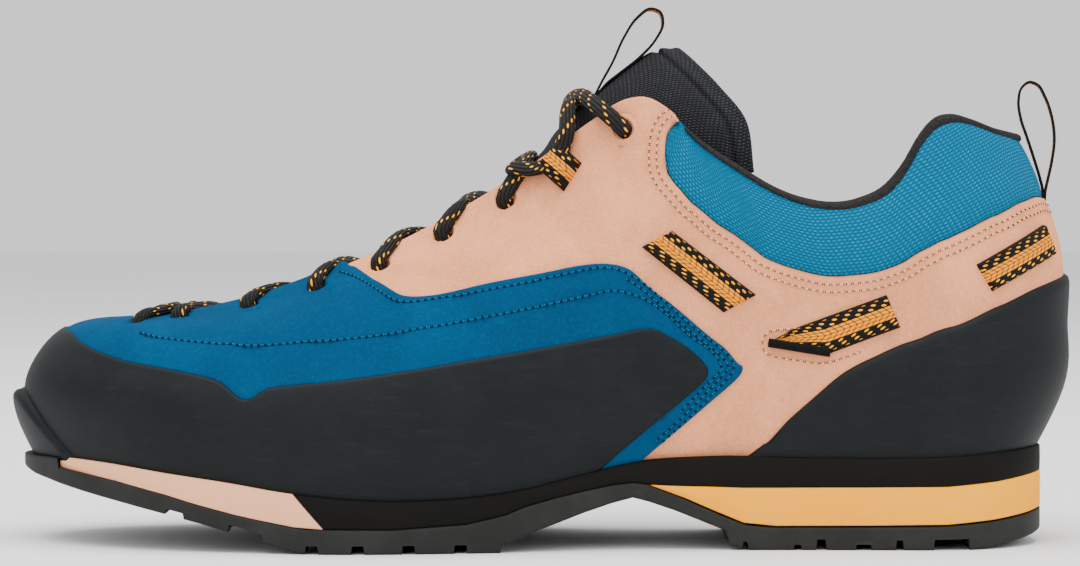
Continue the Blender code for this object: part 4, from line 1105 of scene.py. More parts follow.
@dataclass
class Upper:
    """The upper: quarter, blue vamp, rand, heel counter, collar mesh and lining.

    A panel is a set of cells of one fine grid. Its points are those of the outside form plus
    the outward normal times a height that rises quarter-round from the panel's border.
    """

    finishes: Finishes
    # grid steps for each table column, and rows of the rim over the top line
    fine: int = 12
    rim: int = 6
    rim_rise: float = 0.26
    # row where the normals' sign is read, and row where the map starts
    middle_row: int = 30
    map_row: int = 54
    quarter_border: float = -1.0
    rand_face: float = 1.75
    shade_cup_face: float = 1.6
    edge: float = 0.9
    rand_edge: float = 1.0
    shade_cup_edge: float = 2.6
    # reach over which a relief fades towards a panel's edge
    fade: float = 3.0
    # depth, reach and slope of the dent round each punched hole
    pit: tuple = (-2.4, 2.8, 0.9)
    # table columns: end of the counter, tip of the blue band, tip of the rand, end of the blue
    # panel's tail, end of the ankle mesh, rear end of the blue panel at the throat
    ends: tuple = (10, 12, 14, 14.3, 17, 24.9)
    # mesh of the collar: full puff, less of it at the back of the heel, sunk border, reach of the swell
    puff: tuple = (2.6, 1.2, 1.2, 9.0)
    # x and width of the binding in the side view
    binding: tuple = (
        (25, 2.7), (50, 2.6), (77, 2.5), (90, 2.9), (97, 3.5), (111, 3.5), (118, 3.0), (134, 3.1))
    # share of the binding's width and height of its section
    roll: tuple = ((1.15, -1.8), (1.0, -0.5), (0.9, 0.35), (0.7, 0.75), (0.35, 0.95), (0.0, 0.85))
    crest: float = 1.3
    u: Array = field(init=False)
    v: Array = field(init=False)
    base: Array = field(init=False)
    out: Array = field(init=False)
    uv: Array = field(init=False)

    def __post_init__(self) -> None:
        """Lay out the fine grid with its rim, a half sine from the outer to the inner edge."""
        s = np.linspace(0, PATTERN.last, PATTERN.last * self.fine + 1)
        u, v = PATTERN.grid(s)
        base = LAST.at(u, v)
        top, n = base[:, -1], LAST.normal(u[:, -1], v[:, -1])
        inner = top - n * WALL.at(u[:, -1], v[:, -1])[:, None]
        rise = unit(top - LAST.at(u[:, -1], 0.97))
        thick = np.linalg.norm(top - inner, axis=1)
        turn = np.arange(1, self.rim + 1) / self.rim
        arc = top[:, None] * (1 - turn)[:, None] + inner[:, None] * turn[:, None] \
            + rise[:, None] * (self.rim_rise * thick[:, None] * np.sin(math.pi * turn))[..., None]
        self.u, self.v = u, v
        self.base = np.concatenate([base, arc], axis=1)
        along = np.roll(self.base[:-1], -1, 0) - np.roll(self.base[:-1], 1, 0)
        along = np.concatenate([along, along[:1]])
        n = unit(np.cross(along, np.gradient(self.base, axis=1)))
        row = self.middle_row
        sign = np.sign(np.sum(n[:, row] * LAST.normal(u[:, row], v[:, row]), -1))
        self.out = n * sign[:, None, None]
        across = run_length(self.base, 1)
        length = run_length(self.base[:, self.map_row:self.map_row + 1], 0)
        self.uv = np.stack([np.broadcast_to(length, across.shape),
                            across - across[:, self.map_row:self.map_row + 1]], -1)

    @property
    def rows(self) -> tuple[int, ...]:
        """Rows of the three panel lines, of the top line and of the rim's end."""
        return tuple(int(k) for k in np.cumsum((*PATTERN.bands, self.rim)))

    def cells(self, *spans: tuple[float, float, int, int]) -> Array:
        """Cells of a panel.

        Args:
            spans: first and last table column, first and last row, each past the one before.

        Returns:
            Cell mask.
        """
        n = PATTERN.last
        mid = (np.arange(len(self.u) - 1) + 0.5) / self.fine
        row = np.arange(self.base.shape[1] - 1)
        return np.any([
            (np.mod(mid - first, n) < np.mod(last - first, n))[:, None] & (row >= low) & (row < high)
            for first, last, low, high in spans], axis=0)

    def border(self, mask: Array) -> Array:
        """Distance from the edge of a panel.

        Args:
            mask: its cells.

        Returns:
            Millimetres from each grid point to the nearest point of its edge.
        """
        ring = np.concatenate([mask[-1:], mask, mask[:1]])
        ring = np.pad(ring, ((0, 0), (1, 1)), mode="edge")
        around = ring[:-1, :-1].astype(int) + ring[1:, :-1] + ring[:-1, 1:] + ring[1:, 1:]
        return nearest(self.base, self.base[(around > 0) & (around < 4)])

    def lay(self, piece: Piece, mask: Array, height: Array, material: bpy.types.Material) -> None:
        """Build one panel at a height over the base form.

        Args:
            piece: name, slot and nodes.
            mask: its cells.
            height: height over the whole grid.
            material: finish.
        """
        points = self.base + self.out * height[..., None]
        piece.make(points, material, self.uv, mask, (True, False), self.out)

    def panel(self, piece: Piece, mask: Array, face: float, edge: float, low: float,
              material: bpy.types.Material, relief: Array = 0.0) -> None:
        """Build one panel with a rounded edge.

        Args:
            piece: name, slot and nodes.
            mask: its cells.
            face: height of its face.
            edge: width of its rounded edge.
            low: height of its border.
            material: finish.
            relief: further height, eased in from the edge.
        """
        far = self.border(mask)
        height = low + (face - low) * dome(far / edge)
        self.lay(piece, mask, height + relief * ease(far / self.fade), material)

    def relief(self) -> Array:
        """Soft troughs and ridges: Gauss bells, longer one way, turned on the face.

        Returns:
            Height over the whole grid.
        """
        total = np.zeros(self.base.shape[:2])
        step = 0.01
        for u, v, long, wide, turn, height, both in CREASE:
            for side in Side if both else (Side.LATERAL,):
                at = side.u(u)
                centre, ahead, above = LAST.spot(at, v), LAST.spot(at + step, v), LAST.spot(at, v + step)
                gap = self.base - centre
                p, q = gap @ unit(ahead - centre), gap @ unit(above - centre)
                angle = math.radians(turn if side is Side.LATERAL else -turn)
                c, s = math.cos(angle), math.sin(angle)
                total += height * np.exp(-((p * c + q * s) / long)**2 - ((q * c - p * s) / wide)**2)
        return total

    def build(self) -> None:
        """Build and dress the panels."""
        f, n = self.finishes, PATTERN.last
        low, blue, tan, top, end = self.rows
        counter, band, rand, tail, ankle, throat = self.ends
        creases = self.relief()
        depth, reach, slope = self.pit
        holes = np.array([LAST.spot(side.u(u), v) for u, v in HOLES for side in Side])
        pit = depth * ease((reach - nearest(self.base, holes)) / slope)
        self.panel(Piece("quarter", "tan_suede", ("upper",)),
                   self.cells((0, n - 1e-6, 0, tan), (ankle, n - ankle, tan, end)),
                   0.0, self.edge, self.quarter_border, f.tan, creases * 0.6 + pit)
        self.panel(Piece("vamp_panel", "blue_suede", ("vamp",)),
                   self.cells((band, n - band, low - 2, blue), (band, tail, 0, low),
                              (n - tail, n - band, 0, low), (throat, n - throat, blue, end)),
                   BLUE_FACE, self.edge, BORDER, f.blue, creases + pit)
        self.panel(Piece("rand_band", "rubber", ("rand",)), self.cells((rand, n - rand, 0, low)),
                   self.rand_face, self.rand_edge, BORDER, f.rand)
        self.panel(Piece("heel_shade_cup", "rubber", ("heel_counter",)), self.cells((n - counter, counter, 0, low)),
                   self.shade_cup_face, self.shade_cup_edge, BORDER, f.rand)
        self.mesh(self.cells((n - ankle, ankle, tan, top)))
        self.lining()

    def mesh(self, mask: Array) -> None:
        """Build the padded mesh: a quarter-round swell, lower at the back of the heel.

        Args:
            mask: its cells.
        """
        full, less, sunk, reach = self.puff
        turned = np.mod(self.u, 2)
        back = np.exp(-(np.minimum(turned, 2 - turned) / 0.045)**2)
        back = np.concatenate([back, np.repeat(back[:, -1:], self.rim, 1)], 1)
        height = (full - less * back) * dome(self.border(mask) / reach) - sunk
        self.lay(Piece("collar_mesh", "tan_suede", ("upper",)), mask, height, self.finishes.mesh)

    def lining(self) -> None:
        """Build the binding and the lining as one sheet.

        Its section is the rounded binding outside, a half sine over the top line, and then the
        inner face of the wall down to the sole. In front of the ankle it sinks into the wall.
        """
        n = PATTERN.last
        s = np.linspace(0, n, n * 8 + 1)
        u = PATTERN.grid(s)[0][:, -1]
        one = np.ones_like(u)
        brim = LAST.at(u, one)
        band = np.interp(brim[:, 0], *np.array(self.binding).T)
        steep = np.linalg.norm(brim - LAST.at(u, one * 0.97), axis=1) / 0.03
        shown = ease((16.9 - np.minimum(s, n - s)) / 0.5)
        rows = []
        crest = 1 - self.crest / steep
        for share, rise in self.roll:
            v = 1 - (self.crest + (band - self.crest) * share) / steep
            rows.append(LAST.over(u, v, rise * shown + (-1.0 - 0.6 * share) * (1 - shown)))
        first, inside = rows[-1], LAST.over(u, crest, -WALL.at(u, crest) - 0.1)
        up = unit(first - LAST.at(u, one * 0.96))
        thick = np.linalg.norm(first - inside, axis=1)
        for turn in np.linspace(0.1, 0.9, 8):
            high = np.minimum(0.36 * thick, 1.6) * math.sin(math.pi * turn)**0.8
            high = high * shown - 1.2 * (1 - shown)
            rows.append(first * (1 - turn) + inside * turn + up * high[:, None])
        for v in np.linspace(0.965, 0.0, 26):
            rows.append(LAST.over(u, one * v, -WALL.at(u, one * v) - 0.1))
        points = np.stack(rows, 1)
        outer = np.where(np.arange(points.shape[1]) < 9, 1, -1)[:, None]
        Piece("lining", "insole_felt", ("upper",)).make(
            points, self.finishes.lining, wrap=(True, False),
            away=LAST.normal(u, one * 0.9)[:, None] * outer)


@dataclass(frozen=True)
class Bumper:
    """Rubber guard in front of the toe: points over the form, swelling quarter-round."""

    finishes: Finishes
    # share from the toe to the guard's end, height of its upper edge in v
    rise: tuple = ((0.0, 0.25), (0.35, 0.245), (0.55, 0.2), (0.75, 0.115), (0.9, 0.045), (1.0, 0.005))
    # how far it reaches in u, its face at the toe, how much less at its ends, border and edge
    reach: float = 0.088
    face: float = 5.1
    less: float = 1.9
    low: float = 1.5
    edge: float = 3.0
    # millimetres up the toe for one whole v
    tall: float = 75.0

    def build(self) -> None:
        """Build the guard: v is a share of its edge's height, the face thins to both sides."""
        turn, share = np.linspace(-1, 1, 161), np.linspace(0, 1, 31)
        table = np.array(self.rise)
        top = curve(np.abs(turn), table[:, 0], table[:, 1])[:, None]
        u, v = np.broadcast_arrays((1 + turn * self.reach)[:, None], top * share)
        swell = self.face - self.less * ease(np.abs(turn))[:, None]
        height = self.low + (swell - self.low) * dome((1 - share) * top * self.tall / self.edge)
        Piece("toe_guard", "rubber", ("toe_bumper",)).make(
            LAST.over(u, v, height), self.finishes.rand, away=LAST.normal(u, v))


@dataclass(frozen=True)
class Tongue:
    """Padded tongue standing out of the collar: a closed ring carried through sections."""

    finishes: Finishes
    # u, depth below the upper's face, rise, thickness
    low: tuple = (
        (0.93, 6.4, 0.0, 1.8), (0.9, 4.6, 0.0, 1.6), (0.86, 4.5, 0.0, 1.6), (0.81, 4.5, 0.2, 2.0),
        (0.755, 4.5, 0.4, 2.4), (0.7, 4.5, 0.6, 2.8), (0.64, 4.5, 0.8, 3.0), (0.58, 4.4, 1.2, 3.4),
        (0.53, 4.2, 2.2, 4.0), (0.49, 3.8, 4.0, 5.0),
    )
    # ridge x, ridge z, half width, depth of the arch, thickness, lean from upright, tuck
    high: tuple = (
        (5.0, 115.6, 18.6, 22.0, 5.6, 44.5, 0.0), (14.0, 124.4, 20.4, 28.5, 6.2, 44.5, 0.1),
        (22.0, 131.2, 22.0, 34.5, 6.8, 44.5, 0.3), (29.0, 136.4, 23.4, 39.0, 7.2, 44.8, 0.6),
        (34.6, 139.6, 24.4, 41.6, 7.0, 45.0, 1.0), (37.0, 140.5, 24.6, 42.0, 5.0, 45.0, 1.0),
    )
    # heights of the lower part's side points in v, and share of the thickness at its very edge
    side_v: tuple = (0.8, 0.86, 0.93, 0.995)
    thin_edge: float = 0.4
    # half angle of the arch in degrees, across points
    arch: float = 88.0
    across: int = 11
    # how far the rear corners slip forward and drop, for a tuck of one
    slip: float = 7.0
    drop: float = 8.0
    # seam parallel to the top edge: distance, depth, half width, swell beyond it and its reach
    seam: tuple = (4.6, -0.9, 0.7, 0.5, 4.0)
    # share that the top edge is pinched by, its reach, and how far the closing lip stands out
    pinch: tuple = (0.55, 3.2, 0.9)
    # points up and across each face
    grid: tuple = (190, 121)

    def sections(self, deep: float) -> Array:
        """Coarse sections from the toe end up.

        The lower ones lie below the upper's faces and go straight across the throat with a
        rise; the upper ones are arches, round in plan, that fall away from the ridge.

        Args:
            deep: 0 for the outer face, 1 for the inner.

        Returns:
            Sections x across x 3.
        """
        u, down, rise, thick = np.array(self.low).T
        v = np.array(self.side_v)
        su = np.broadcast_to(u[:, None], (len(u), len(v)))
        sv = np.broadcast_to(v, su.shape)
        full = self.thin_edge + (1 - self.thin_edge) * np.linspace(0, 1, len(v))**0.5
        sink = down[:, None] + deep * thick[:, None] * full
        left = LAST.over(su, sv, -sink)
        right = LAST.over(2 - su, sv, -sink)[:, ::-1]
        rows = [left]
        for t in (0.25, 0.5, 0.75):
            middle = left[:, -1] * (1 - t) + right[:, 0] * t
            middle[:, 2] += (1 - deep) * rise * math.sin(math.pi * t)
            rows.append(middle[:, None])
        lower = np.concatenate([*rows, right], axis=1)
        x, z, half, fall, thick, lean, tuck = np.array(self.high).T[..., None]
        dx, dz = np.sin(np.radians(lean)), -np.cos(np.radians(lean))
        q = np.linspace(-1, 1, self.across)
        angle = q * math.radians(self.arch)
        inward = deep * thick * (1 - 0.6 * np.abs(q)**6)
        slip, tuck = tuck * np.abs(q)**12, tuck * np.abs(q)**5
        y = (half - inward * 0.9) * np.sin(angle) * (1 - 0.12 * tuck)
        drop = fall * (1 - np.cos(angle)) + inward * np.cos(angle)
        upper = np.stack([x + dx * drop - self.slip * slip, y, z + dz * drop - self.drop * tuck], -1)
        return np.concatenate([lower, upper])

    def refine(self, coarse: Array) -> Array:
        """Smooth grid through coarse sections: curves up the tongue, then across it.

        Args:
            coarse: the sections.

        Returns:
            The fine grid.
        """
        i, j = np.arange(coarse.shape[0]), np.arange(coarse.shape[1])
        a, b = np.linspace(0, i[-1], self.grid[0]), np.linspace(0, j[-1], self.grid[1])
        first = np.stack([through(a, i, coarse[:, q]) for q in j], 1)
        return np.stack([through(b, j, row) for row in first])

    def build(self) -> None:
        """Build the tongue: outer and inner face joined at the sides, pinched shut at the top."""
        outer, inner = self.refine(self.sections(0.0)), self.refine(self.sections(1.0))
        middle = (outer + inner) / 2
        left = run_length(outer, 0)
        gap = left[-1:] - left
        far, deep, wide, swell, reach = self.seam
        share, length, lip = self.pinch
        relief = deep * np.exp(-((gap - far) / wide)**2) + swell * dome((gap - far) / reach) * (gap > far)
        outer = outer + unit(outer - inner) * relief[..., None]
        pinch = (1 - share * ease(1 - gap / length))[..., None]
        outer = middle + (outer - middle) * pinch
        inner = middle + (inner - middle) * pinch
        ring = np.concatenate([outer, inner[:, ::-1], outer[:, :1]], axis=1)
        end = np.concatenate([middle[-1:], middle[-1:, ::-1], middle[-1:, :1]], axis=1)
        close = ring[-1:] * (1 - share) + end * share + unit(ring[-1:] - ring[-2:-1]) * lip
        Piece("tongue_pad", "tongue_mesh", ("tongue",)).make(
            np.concatenate([ring, close], axis=0), self.finishes.knit, wrap=(False, True), caps=True)


@dataclass(frozen=True)
class Ribbon:
    """Rounded flat ribbon over the upper, straight across between two side-view lines."""

    name: str
    node: str
    near: tuple
    far: tuple
    height: float = 1.5
    edge: float = 0.8
    low: float = 0.05
    width: float = 10.0
    # points along and across
    grid: tuple = (60, 21)

    def line(self, corners: tuple) -> Array:
        """Evenly spaced places along a polyline.

        Args:
            corners: x and z of its corners.

        Returns:
            The places.
        """
        p = np.array(corners, float)
        s = run_length(p, 0)
        t = np.linspace(0, s[-1], self.grid[0])
        return np.stack([np.interp(t, s, p[:, 0]), np.interp(t, s, p[:, 1])], 1)[:, None]

    def build(self, material: bpy.types.Material, side: Side) -> None:
        """Build the ribbon on one side, its height quarter-round from every edge.

        Args:
            material: finish.
            side: side of the foot.
        """
        share = np.linspace(0, 1, self.grid[1])[:, None]
        flat = self.line(self.near) * (1 - share) + self.line(self.far) * share
        u, v = (q.reshape(self.grid) for q in LAST.locate(flat.reshape(-1, 2), side))
        on = LAST.at(u, v)
        along, across = run_length(on, 0), run_length(on, 1)
        edge = np.minimum(across, across[:, -1:] - across)
        edge = np.minimum(edge, np.minimum(along, along[-1:] - along))
        height = self.low + (self.height - self.low) * dome(edge / self.edge)
        uv = np.stack([along, across * (self.width / np.maximum(across[:, -1:], 1))], -1)
        Piece(self.name + "_" + side.value, "webbing", (self.node + "_" + side.value,)).make(
            LAST.over(u, v, height), material, uv, away=LAST.normal(u, v))


RIBBONS = (
    Ribbon("tape_front", "strap_front", ((27.9, 83.4), (50.4, 65.4)), ((36.3, 87.8), (59.4, 70.2))),
    Ribbon("tape_mid", "strap_mid", ((63.2, 56.6), (79.6, 54.1), (99.1, 61.3)),
           ((63.2, 57.4), (69.6, 60.9), (95.3, 70.2))),
    Ribbon("tape_rear", "strap_rear", ((120.0, 78.5), (140.3, 89.4)), ((124.5, 71.1), (143.7, 81.0))),
    Ribbon("tape_lace", "lace_loop", ((-0.6, 105.0), (6.6, 98.6)), ((5.9, 111.7), (11.6, 106.5)), 5.0, 3.4),
)


@dataclass(frozen=True)
class PullLoop:
    """Tape loop standing in the middle plane: a thin hexagon carried along its path."""

    name: str
    node: str
    path: tuple
    skew: float = 0.0
    half: float = 5.0
    thick: float = 0.7
    # how much narrower the flat faces are than the tape
    chamfer: float = 0.4
    # points along, and across each face
    grid: tuple = (150, 17)

    def build(self, material: bpy.types.Material) -> None:
        """Build the loop.

        Args:
            material: finish.
        """
        p = np.array(self.path)
        s = run_length(p, 0)
        long, wide = self.grid
        t = np.linspace(0, s[-1], long)
        x, z = through(t, s, p).T[..., None]
        dx, dz = np.gradient(x, axis=0), np.gradient(z, axis=0)
        size = np.hypot(dx, dz)
        flat = np.linspace(-1, 1, wide) * (self.half - self.chamfer)
        y = np.concatenate([flat, [self.half], flat[::-1], [-self.half], flat[:1]])
        side = np.concatenate([np.ones(wide), [0], -np.ones(wide), [0], [1]]) * self.thick / 2
        points = np.stack(np.broadcast_arrays(
            x - dz / size * side + y * self.skew, y, z + dx / size * side), -1)
        uv = np.stack(np.broadcast_arrays(t[:, None], y + self.half), -1)
        Piece(self.name, "tape", (self.node,)).make(points, material, uv, wrap=(False, True), caps=True)


LOOPS = (
    PullLoop("heel_pull", "heel_loop", (
        (142.4, 95.0), (142.7, 99.2), (141.8, 103.0), (140.2, 108.2), (138.2, 114.2), (136.4, 119.6),
        (135.8, 124.6), (136.6, 128.0), (138.8, 129.7), (141.2, 128.9), (143.2, 125.7), (145.2, 120.0),
        (146.0, 113.4), (145.3, 107.4), (144.2, 102.2), (143.5, 99.0), (143.2, 95.0)), 0.12),
    PullLoop("tongue_pull", "tongue_loop", (
        (14.9, 124.6), (17.4, 129.6), (20.5, 135.2), (23.9, 142.6), (27.6, 148.0), (31.2, 150.4),
        (34.0, 149.4), (34.8, 146.2), (32.8, 141.8), (28.4, 136.9), (22.8, 132.4), (19.0, 129.4),
        (15.6, 125.4))),
)


@dataclass(frozen=True)
class Tube:
    """Round or flattened tube carried along a path, closed at both ends."""

    piece: Piece
    radius: float
    # points round it, thickness over width, direction that the width leans to
    around: int
    thin: float = 1.0
    guide: tuple = (0.0, 0.35, 1.0)
    # points over which its turning is evened out
    even: int = 11

    def build(self, path: Array, material: bpy.types.Material) -> None:
        """Build the tube: an ellipse square to the path at each of its points.

        Args:
            path: N x 3 points.
            material: finish, on a map of millimetres along and 0 to 1 around.
        """
        along = unit(np.gradient(path, axis=0))
        other = np.pad(np.cross(along, self.guide), ((self.even // 2,) * 2, (0, 0)), mode="edge")
        weight = np.ones(self.even) / self.even
        other = np.stack([np.convolve(other[:, i], weight, "valid") for i in range(3)], 1)
        other = unit(other - np.sum(other * along, -1, keepdims=True) * along)
        side = np.cross(other, along)
        angle = np.linspace(0, 2 * math.pi, self.around + 1)
        ring = np.cos(angle)[:, None] * side[:, None] + self.thin * np.sin(angle)[:, None] * other[:, None]
        uv = np.stack(np.broadcast_arrays(run_length(path, 0)[:, None], angle / (2 * math.pi)), -1)
        self.piece.make(path[:, None] + ring * self.radius, material, uv, wrap=(False, True), caps=True)


@dataclass(frozen=True)
class Lace:
    """One round lace through all eyelets, from the toe bar to the top pair."""

    finishes: Finishes
    radius: float = 2.35
    thin: float = 0.72
    guide: tuple = (1.0, 0.0, 0.55)
    # rise of each crossing above the throat's edges
    lift: tuple = (-0.8, -0.8, -0.6, -0.4, 0.0, 1.4, 7.2)
    # name, side of the lowest eyelet and further rise of each half at the crossings
    halves: tuple = (("lace_a", Side.LATERAL, -1.6), ("lace_b", Side.MEDIAL, 1.3))
    # places past the lowest eyelet from the bar down the toe hole and back: u aside, v, height
    toe_run: tuple = ((0.038, 0.925, 1.0), (0.05, 0.845, 0.7), (0.0543, 0.82, -3.0),
                      (0.04, 0.84, -5.0), (0.016, 0.89, -5.0))
    # points for each millimetre of the curve's own measure
    fine: float = 3.2

    def face(self, k: int) -> float:
        """Height of the face round an eyelet."""
        return BLUE_FACE if EYELETS[k][0] > BLUE_FROM else 0.0

    def over(self, k: int, side: Side, v: float, height: float, aside: float = 0.0) -> Array:
        """A point over the upper near an eyelet."""
        return LAST.spot(side.u(EYELETS[k][0] + aside), v, height)

    def leave(self, k: int, side: Side) -> list[Array]:
        """Way of the lace from an eyelet to the edge of the throat.

        Args:
            k: number of the eyelet.
            side: its side.

        Returns:
            Points up through a punched hole, or along the top of the tape loop.
        """
        r, v, face = self.radius, EYELETS[k][1], self.face(k)
        if k == LOOP_EYELET:
            edge = self.over(k, side, 1.0, r + 0.8, -0.016)
            return [self.over(k, side, 0.955, r, 0.004), self.over(k, side, 0.975, r + 0.2, -0.008),
                    edge, edge * [1, 0.75, 1] + [0.5, 0, 6.5]]
        return [self.over(k, side, v - 0.004, -3.0, 0.003), self.over(k, side, v + 0.004, face + 0.7, 0.001),
                self.over(k, side, v * 0.5 + 0.5, face + 1.1, -0.009),
                self.over(k, side, 1.0, 0.7 + face * 0.5, -0.021)]

    def arrive(self, k: int, side: Side) -> list[Array]:
        """Way of the lace from the edge of the throat to an eyelet.

        Args:
            k: number of the eyelet.
            side: its side.

        Returns:
            Points over the tape loop, under the wall, or for the top eyelet down its hole.
        """
        r, v = self.radius, EYELETS[k][1]
        if k == LOOP_EYELET:
            return [self.over(k, side, 1.0, r + 0.3, 0.03), self.over(k, side, 0.965, r, 0.016)]
        if k < len(EYELETS) - 1:
            return [self.over(k, side, 0.998, -2.4, 0.012), self.over(k, side, v * 0.5 + 0.5, -4.4, 0.004)]
        return [self.over(k, side, 1.0, r + 0.6, 0.008), self.over(k, side, v * 0.6 + 0.4, r + 0.2, 0.003),
                self.over(k, side, v, 0.6), self.over(k, side, v - 0.004, -2.6)]

    def strand(self, side: Side, raise_by: float) -> Array:
        """Path of one half of the lace, a smooth curve through listed places.

        Args:
            side: side of its lowest eyelet.
            raise_by: how far it passes above the other half at the crossings.

        Returns:
            Path points, starting in the middle of the toe bar.
        """
        other = {Side.LATERAL: Side.MEDIAL, Side.MEDIAL: Side.LATERAL}
        low = self.face(0)
        ends = [self.over(0, s, 1.0, 1.0 + low, 0.02) for s in (side, other[side])]
        path = [(ends[0] + ends[1]) / 2, ends[0]]
        path += [self.over(0, side, v, height + (low if height > 0 else 0.0), aside)
                 for aside, v, height in self.toe_run]
        for k, lift in enumerate(self.lift):
            path += self.leave(k, side)
            a = self.over(k, side, 1.0, 0.0, -0.022)
            side = other[side]
            b = self.over(k + 1, side, 1.0, 0.0, 0.014)
            path.append((a + b) / 2 + [-3.2 * (k == LOOP_EYELET), 0, lift + raise_by])
            path += self.arrive(k + 1, side)
        p = np.array(path)
        s = np.concatenate([[0], np.cumsum(np.linalg.norm(np.diff(p, axis=0), axis=1)**0.8)])
        return through(np.linspace(0, s[-1], int(s[-1] * self.fine)), s, p)

    def build(self) -> None:
        """Build both halves as one lace piece each."""
        nodes = tuple("lace_%d" % i for i in range(1, 8))
        for name, side, lift in self.halves:
            tube = Tube(Piece(name, "lace_cord", nodes), self.radius, 16, self.thin, self.guide)
            tube.build(self.strand(side, lift), self.finishes.lace)


@dataclass(frozen=True)
class Eyelets:
    """Pressed holes with a soft lip: a profile turned round each hole, laid on the face."""

    finishes: Finishes
    # radius and height over the face of the lip's rings, and of the dark shade cup's, a near-black disc that
    # is painted shade inside the hole
    lip: tuple = (
        (5.0, -0.45), (4.4, -0.02), (3.6, 0.1), (3.15, 0.05), (2.85, -0.3), (2.75, -1.2), (2.7, -2.2))
    shade_cup: tuple = ((3.0, -1.9), (0.01, -1.9))
    around: int = 33

    def rings(self, at: tuple, side: Side, profile: tuple, face: float) -> Array:
        """Rings round a hole that follow the face.

        Steps in u and v come from steps in millimetres through the form's slopes at the hole.

        Args:
            at: u and v of the hole.
            side: side of the foot.
            profile: radius and height of each ring.
            face: height of the face over the base form.

        Returns:
            Rings x angles x 3.
        """
        u, v = side.u(at[0]), at[1]
        du, dv = 0.01, 0.02
        angle = np.linspace(0, 2 * math.pi, self.around)
        radius, height = np.array(profile).T[..., None]
        base = LAST.at(np.array([u, u + du, u]), np.array([v, v, v - dv]))
        along, up = (base[1] - base[0]) / du, (base[0] - base[2]) / dv
        a = unit(along)
        b = np.cross(LAST.normal(np.array([u]), np.array([v]))[0], a)
        p, q = radius * np.cos(angle), radius * np.sin(angle)
        slopes = np.array([[along @ a, up @ a], [along @ b, up @ b]])
        step_u, step_v = np.linalg.solve(slopes, np.stack([p.ravel(), q.ravel()]))
        return LAST.over(u + step_u.reshape(p.shape), np.clip(v + step_v.reshape(p.shape), 0, 1),
                         np.broadcast_to(height + face, p.shape))

    def build(self) -> None:
        """Build a lip for each punched hole and a near-black cup in it, painted shade of the hole's depth."""
        f = self.finishes
        for k, at in enumerate(HOLES):
            blue = at[0] > BLUE_FROM
            slot, finish, face = ("blue_suede", f.blue, BLUE_FACE) if blue else ("tan_suede", f.tan, 0.0)
            for side in Side:
                away = LAST.normal(np.array([side.u(at[0])]), np.array([at[1]]))[0]
                # the cup is a near-black disc closing the hole: painted shade
                for part, slot_name, profile, material in (("lip", slot, self.lip, finish),
                                                           ("shade_cup", "insole_felt", self.shade_cup, f.hole)):
                    Piece("%s_%d%s" % (part, k, side.value), slot_name).make(
                        self.rings(at, side, profile, face), material, wrap=(False, True), away=away)


@dataclass(frozen=True)
class Stitching:
    """Rows of stitches along seams: half-round spindles, evenly spaced beside a line."""

    finishes: Finishes
    pitch: float = 2.0
    length: float = 1.8
    radius: float = 0.34
    # points along and round each stitch, and how blunt its ends are
    rings: int = 7
    blunt: float = 0.6
    # points for each place of a seam's table
    fine: int = 24

    def row(self, uv: Array, offset: float, height: float) -> tuple[Array, Array, Array]:
        """Stitch centres along a seam.

        Args:
            uv: seam in u and v.
            offset: distance beside the seam, positive on its left.
            height: height over the base form.

        Returns:
            Centres, directions and normals.
        """
        fine = np.linspace(0, len(uv) - 1, len(uv) * self.fine)
        u, v = through(fine, np.arange(len(uv)), uv).T
        v = np.clip(v, 0, 1)
        p, n = LAST.at(u, v), LAST.normal(u, v)
        t = unit(np.gradient(p, axis=0))
        p = p + np.cross(n, t) * offset + n * height
        s = run_length(p, 0)
        at = np.arange(self.pitch * 0.7, s[-1] - self.pitch * 0.5, self.pitch)
        pick = [np.stack([np.interp(at, s, a[:, i]) for i in range(3)], -1) for a in (p, t, n)]
        return pick[0], unit(pick[1]), unit(pick[2])

    def sew(self, name: str, slot: str, rows: Sequence[tuple], material: bpy.types.Material) -> None:
        """Build all stitches of one thread as one piece.

        Args:
            name: piece name.
            slot: record slot.
            rows: seams with their offset and height.
            material: finish.
        """
        parts = [self.row(*r) for r in rows]
        c, t, n = (np.concatenate([p[i] for p in parts])[:, None, None] for i in range(3))
        k = self.rings
        a, r = np.linspace(0, math.pi, k), np.linspace(0, 2 * math.pi, k)
        x = (-np.cos(a) * self.length / 2)[:, None, None]
        w = (np.sin(a)**self.blunt * self.radius)[:, None, None]
        beside, above = np.cos(r)[:, None], np.sin(r)[:, None]
        points = (c + x * t + w * beside * np.cross(n, t) + w * above * n).reshape(-1, k, 3)
        cells = np.ones((len(points) - 1, k - 1), bool)
        cells[k - 1::k] = False
        along = np.tile(np.broadcast_to(x[..., 0], (k, k)), (len(c), 1))
        Piece(name, slot).make(points, material, np.stack([along, points[..., 2]], -1), cells,
                               (False, True), points - np.repeat(c[:, 0], k, axis=0))


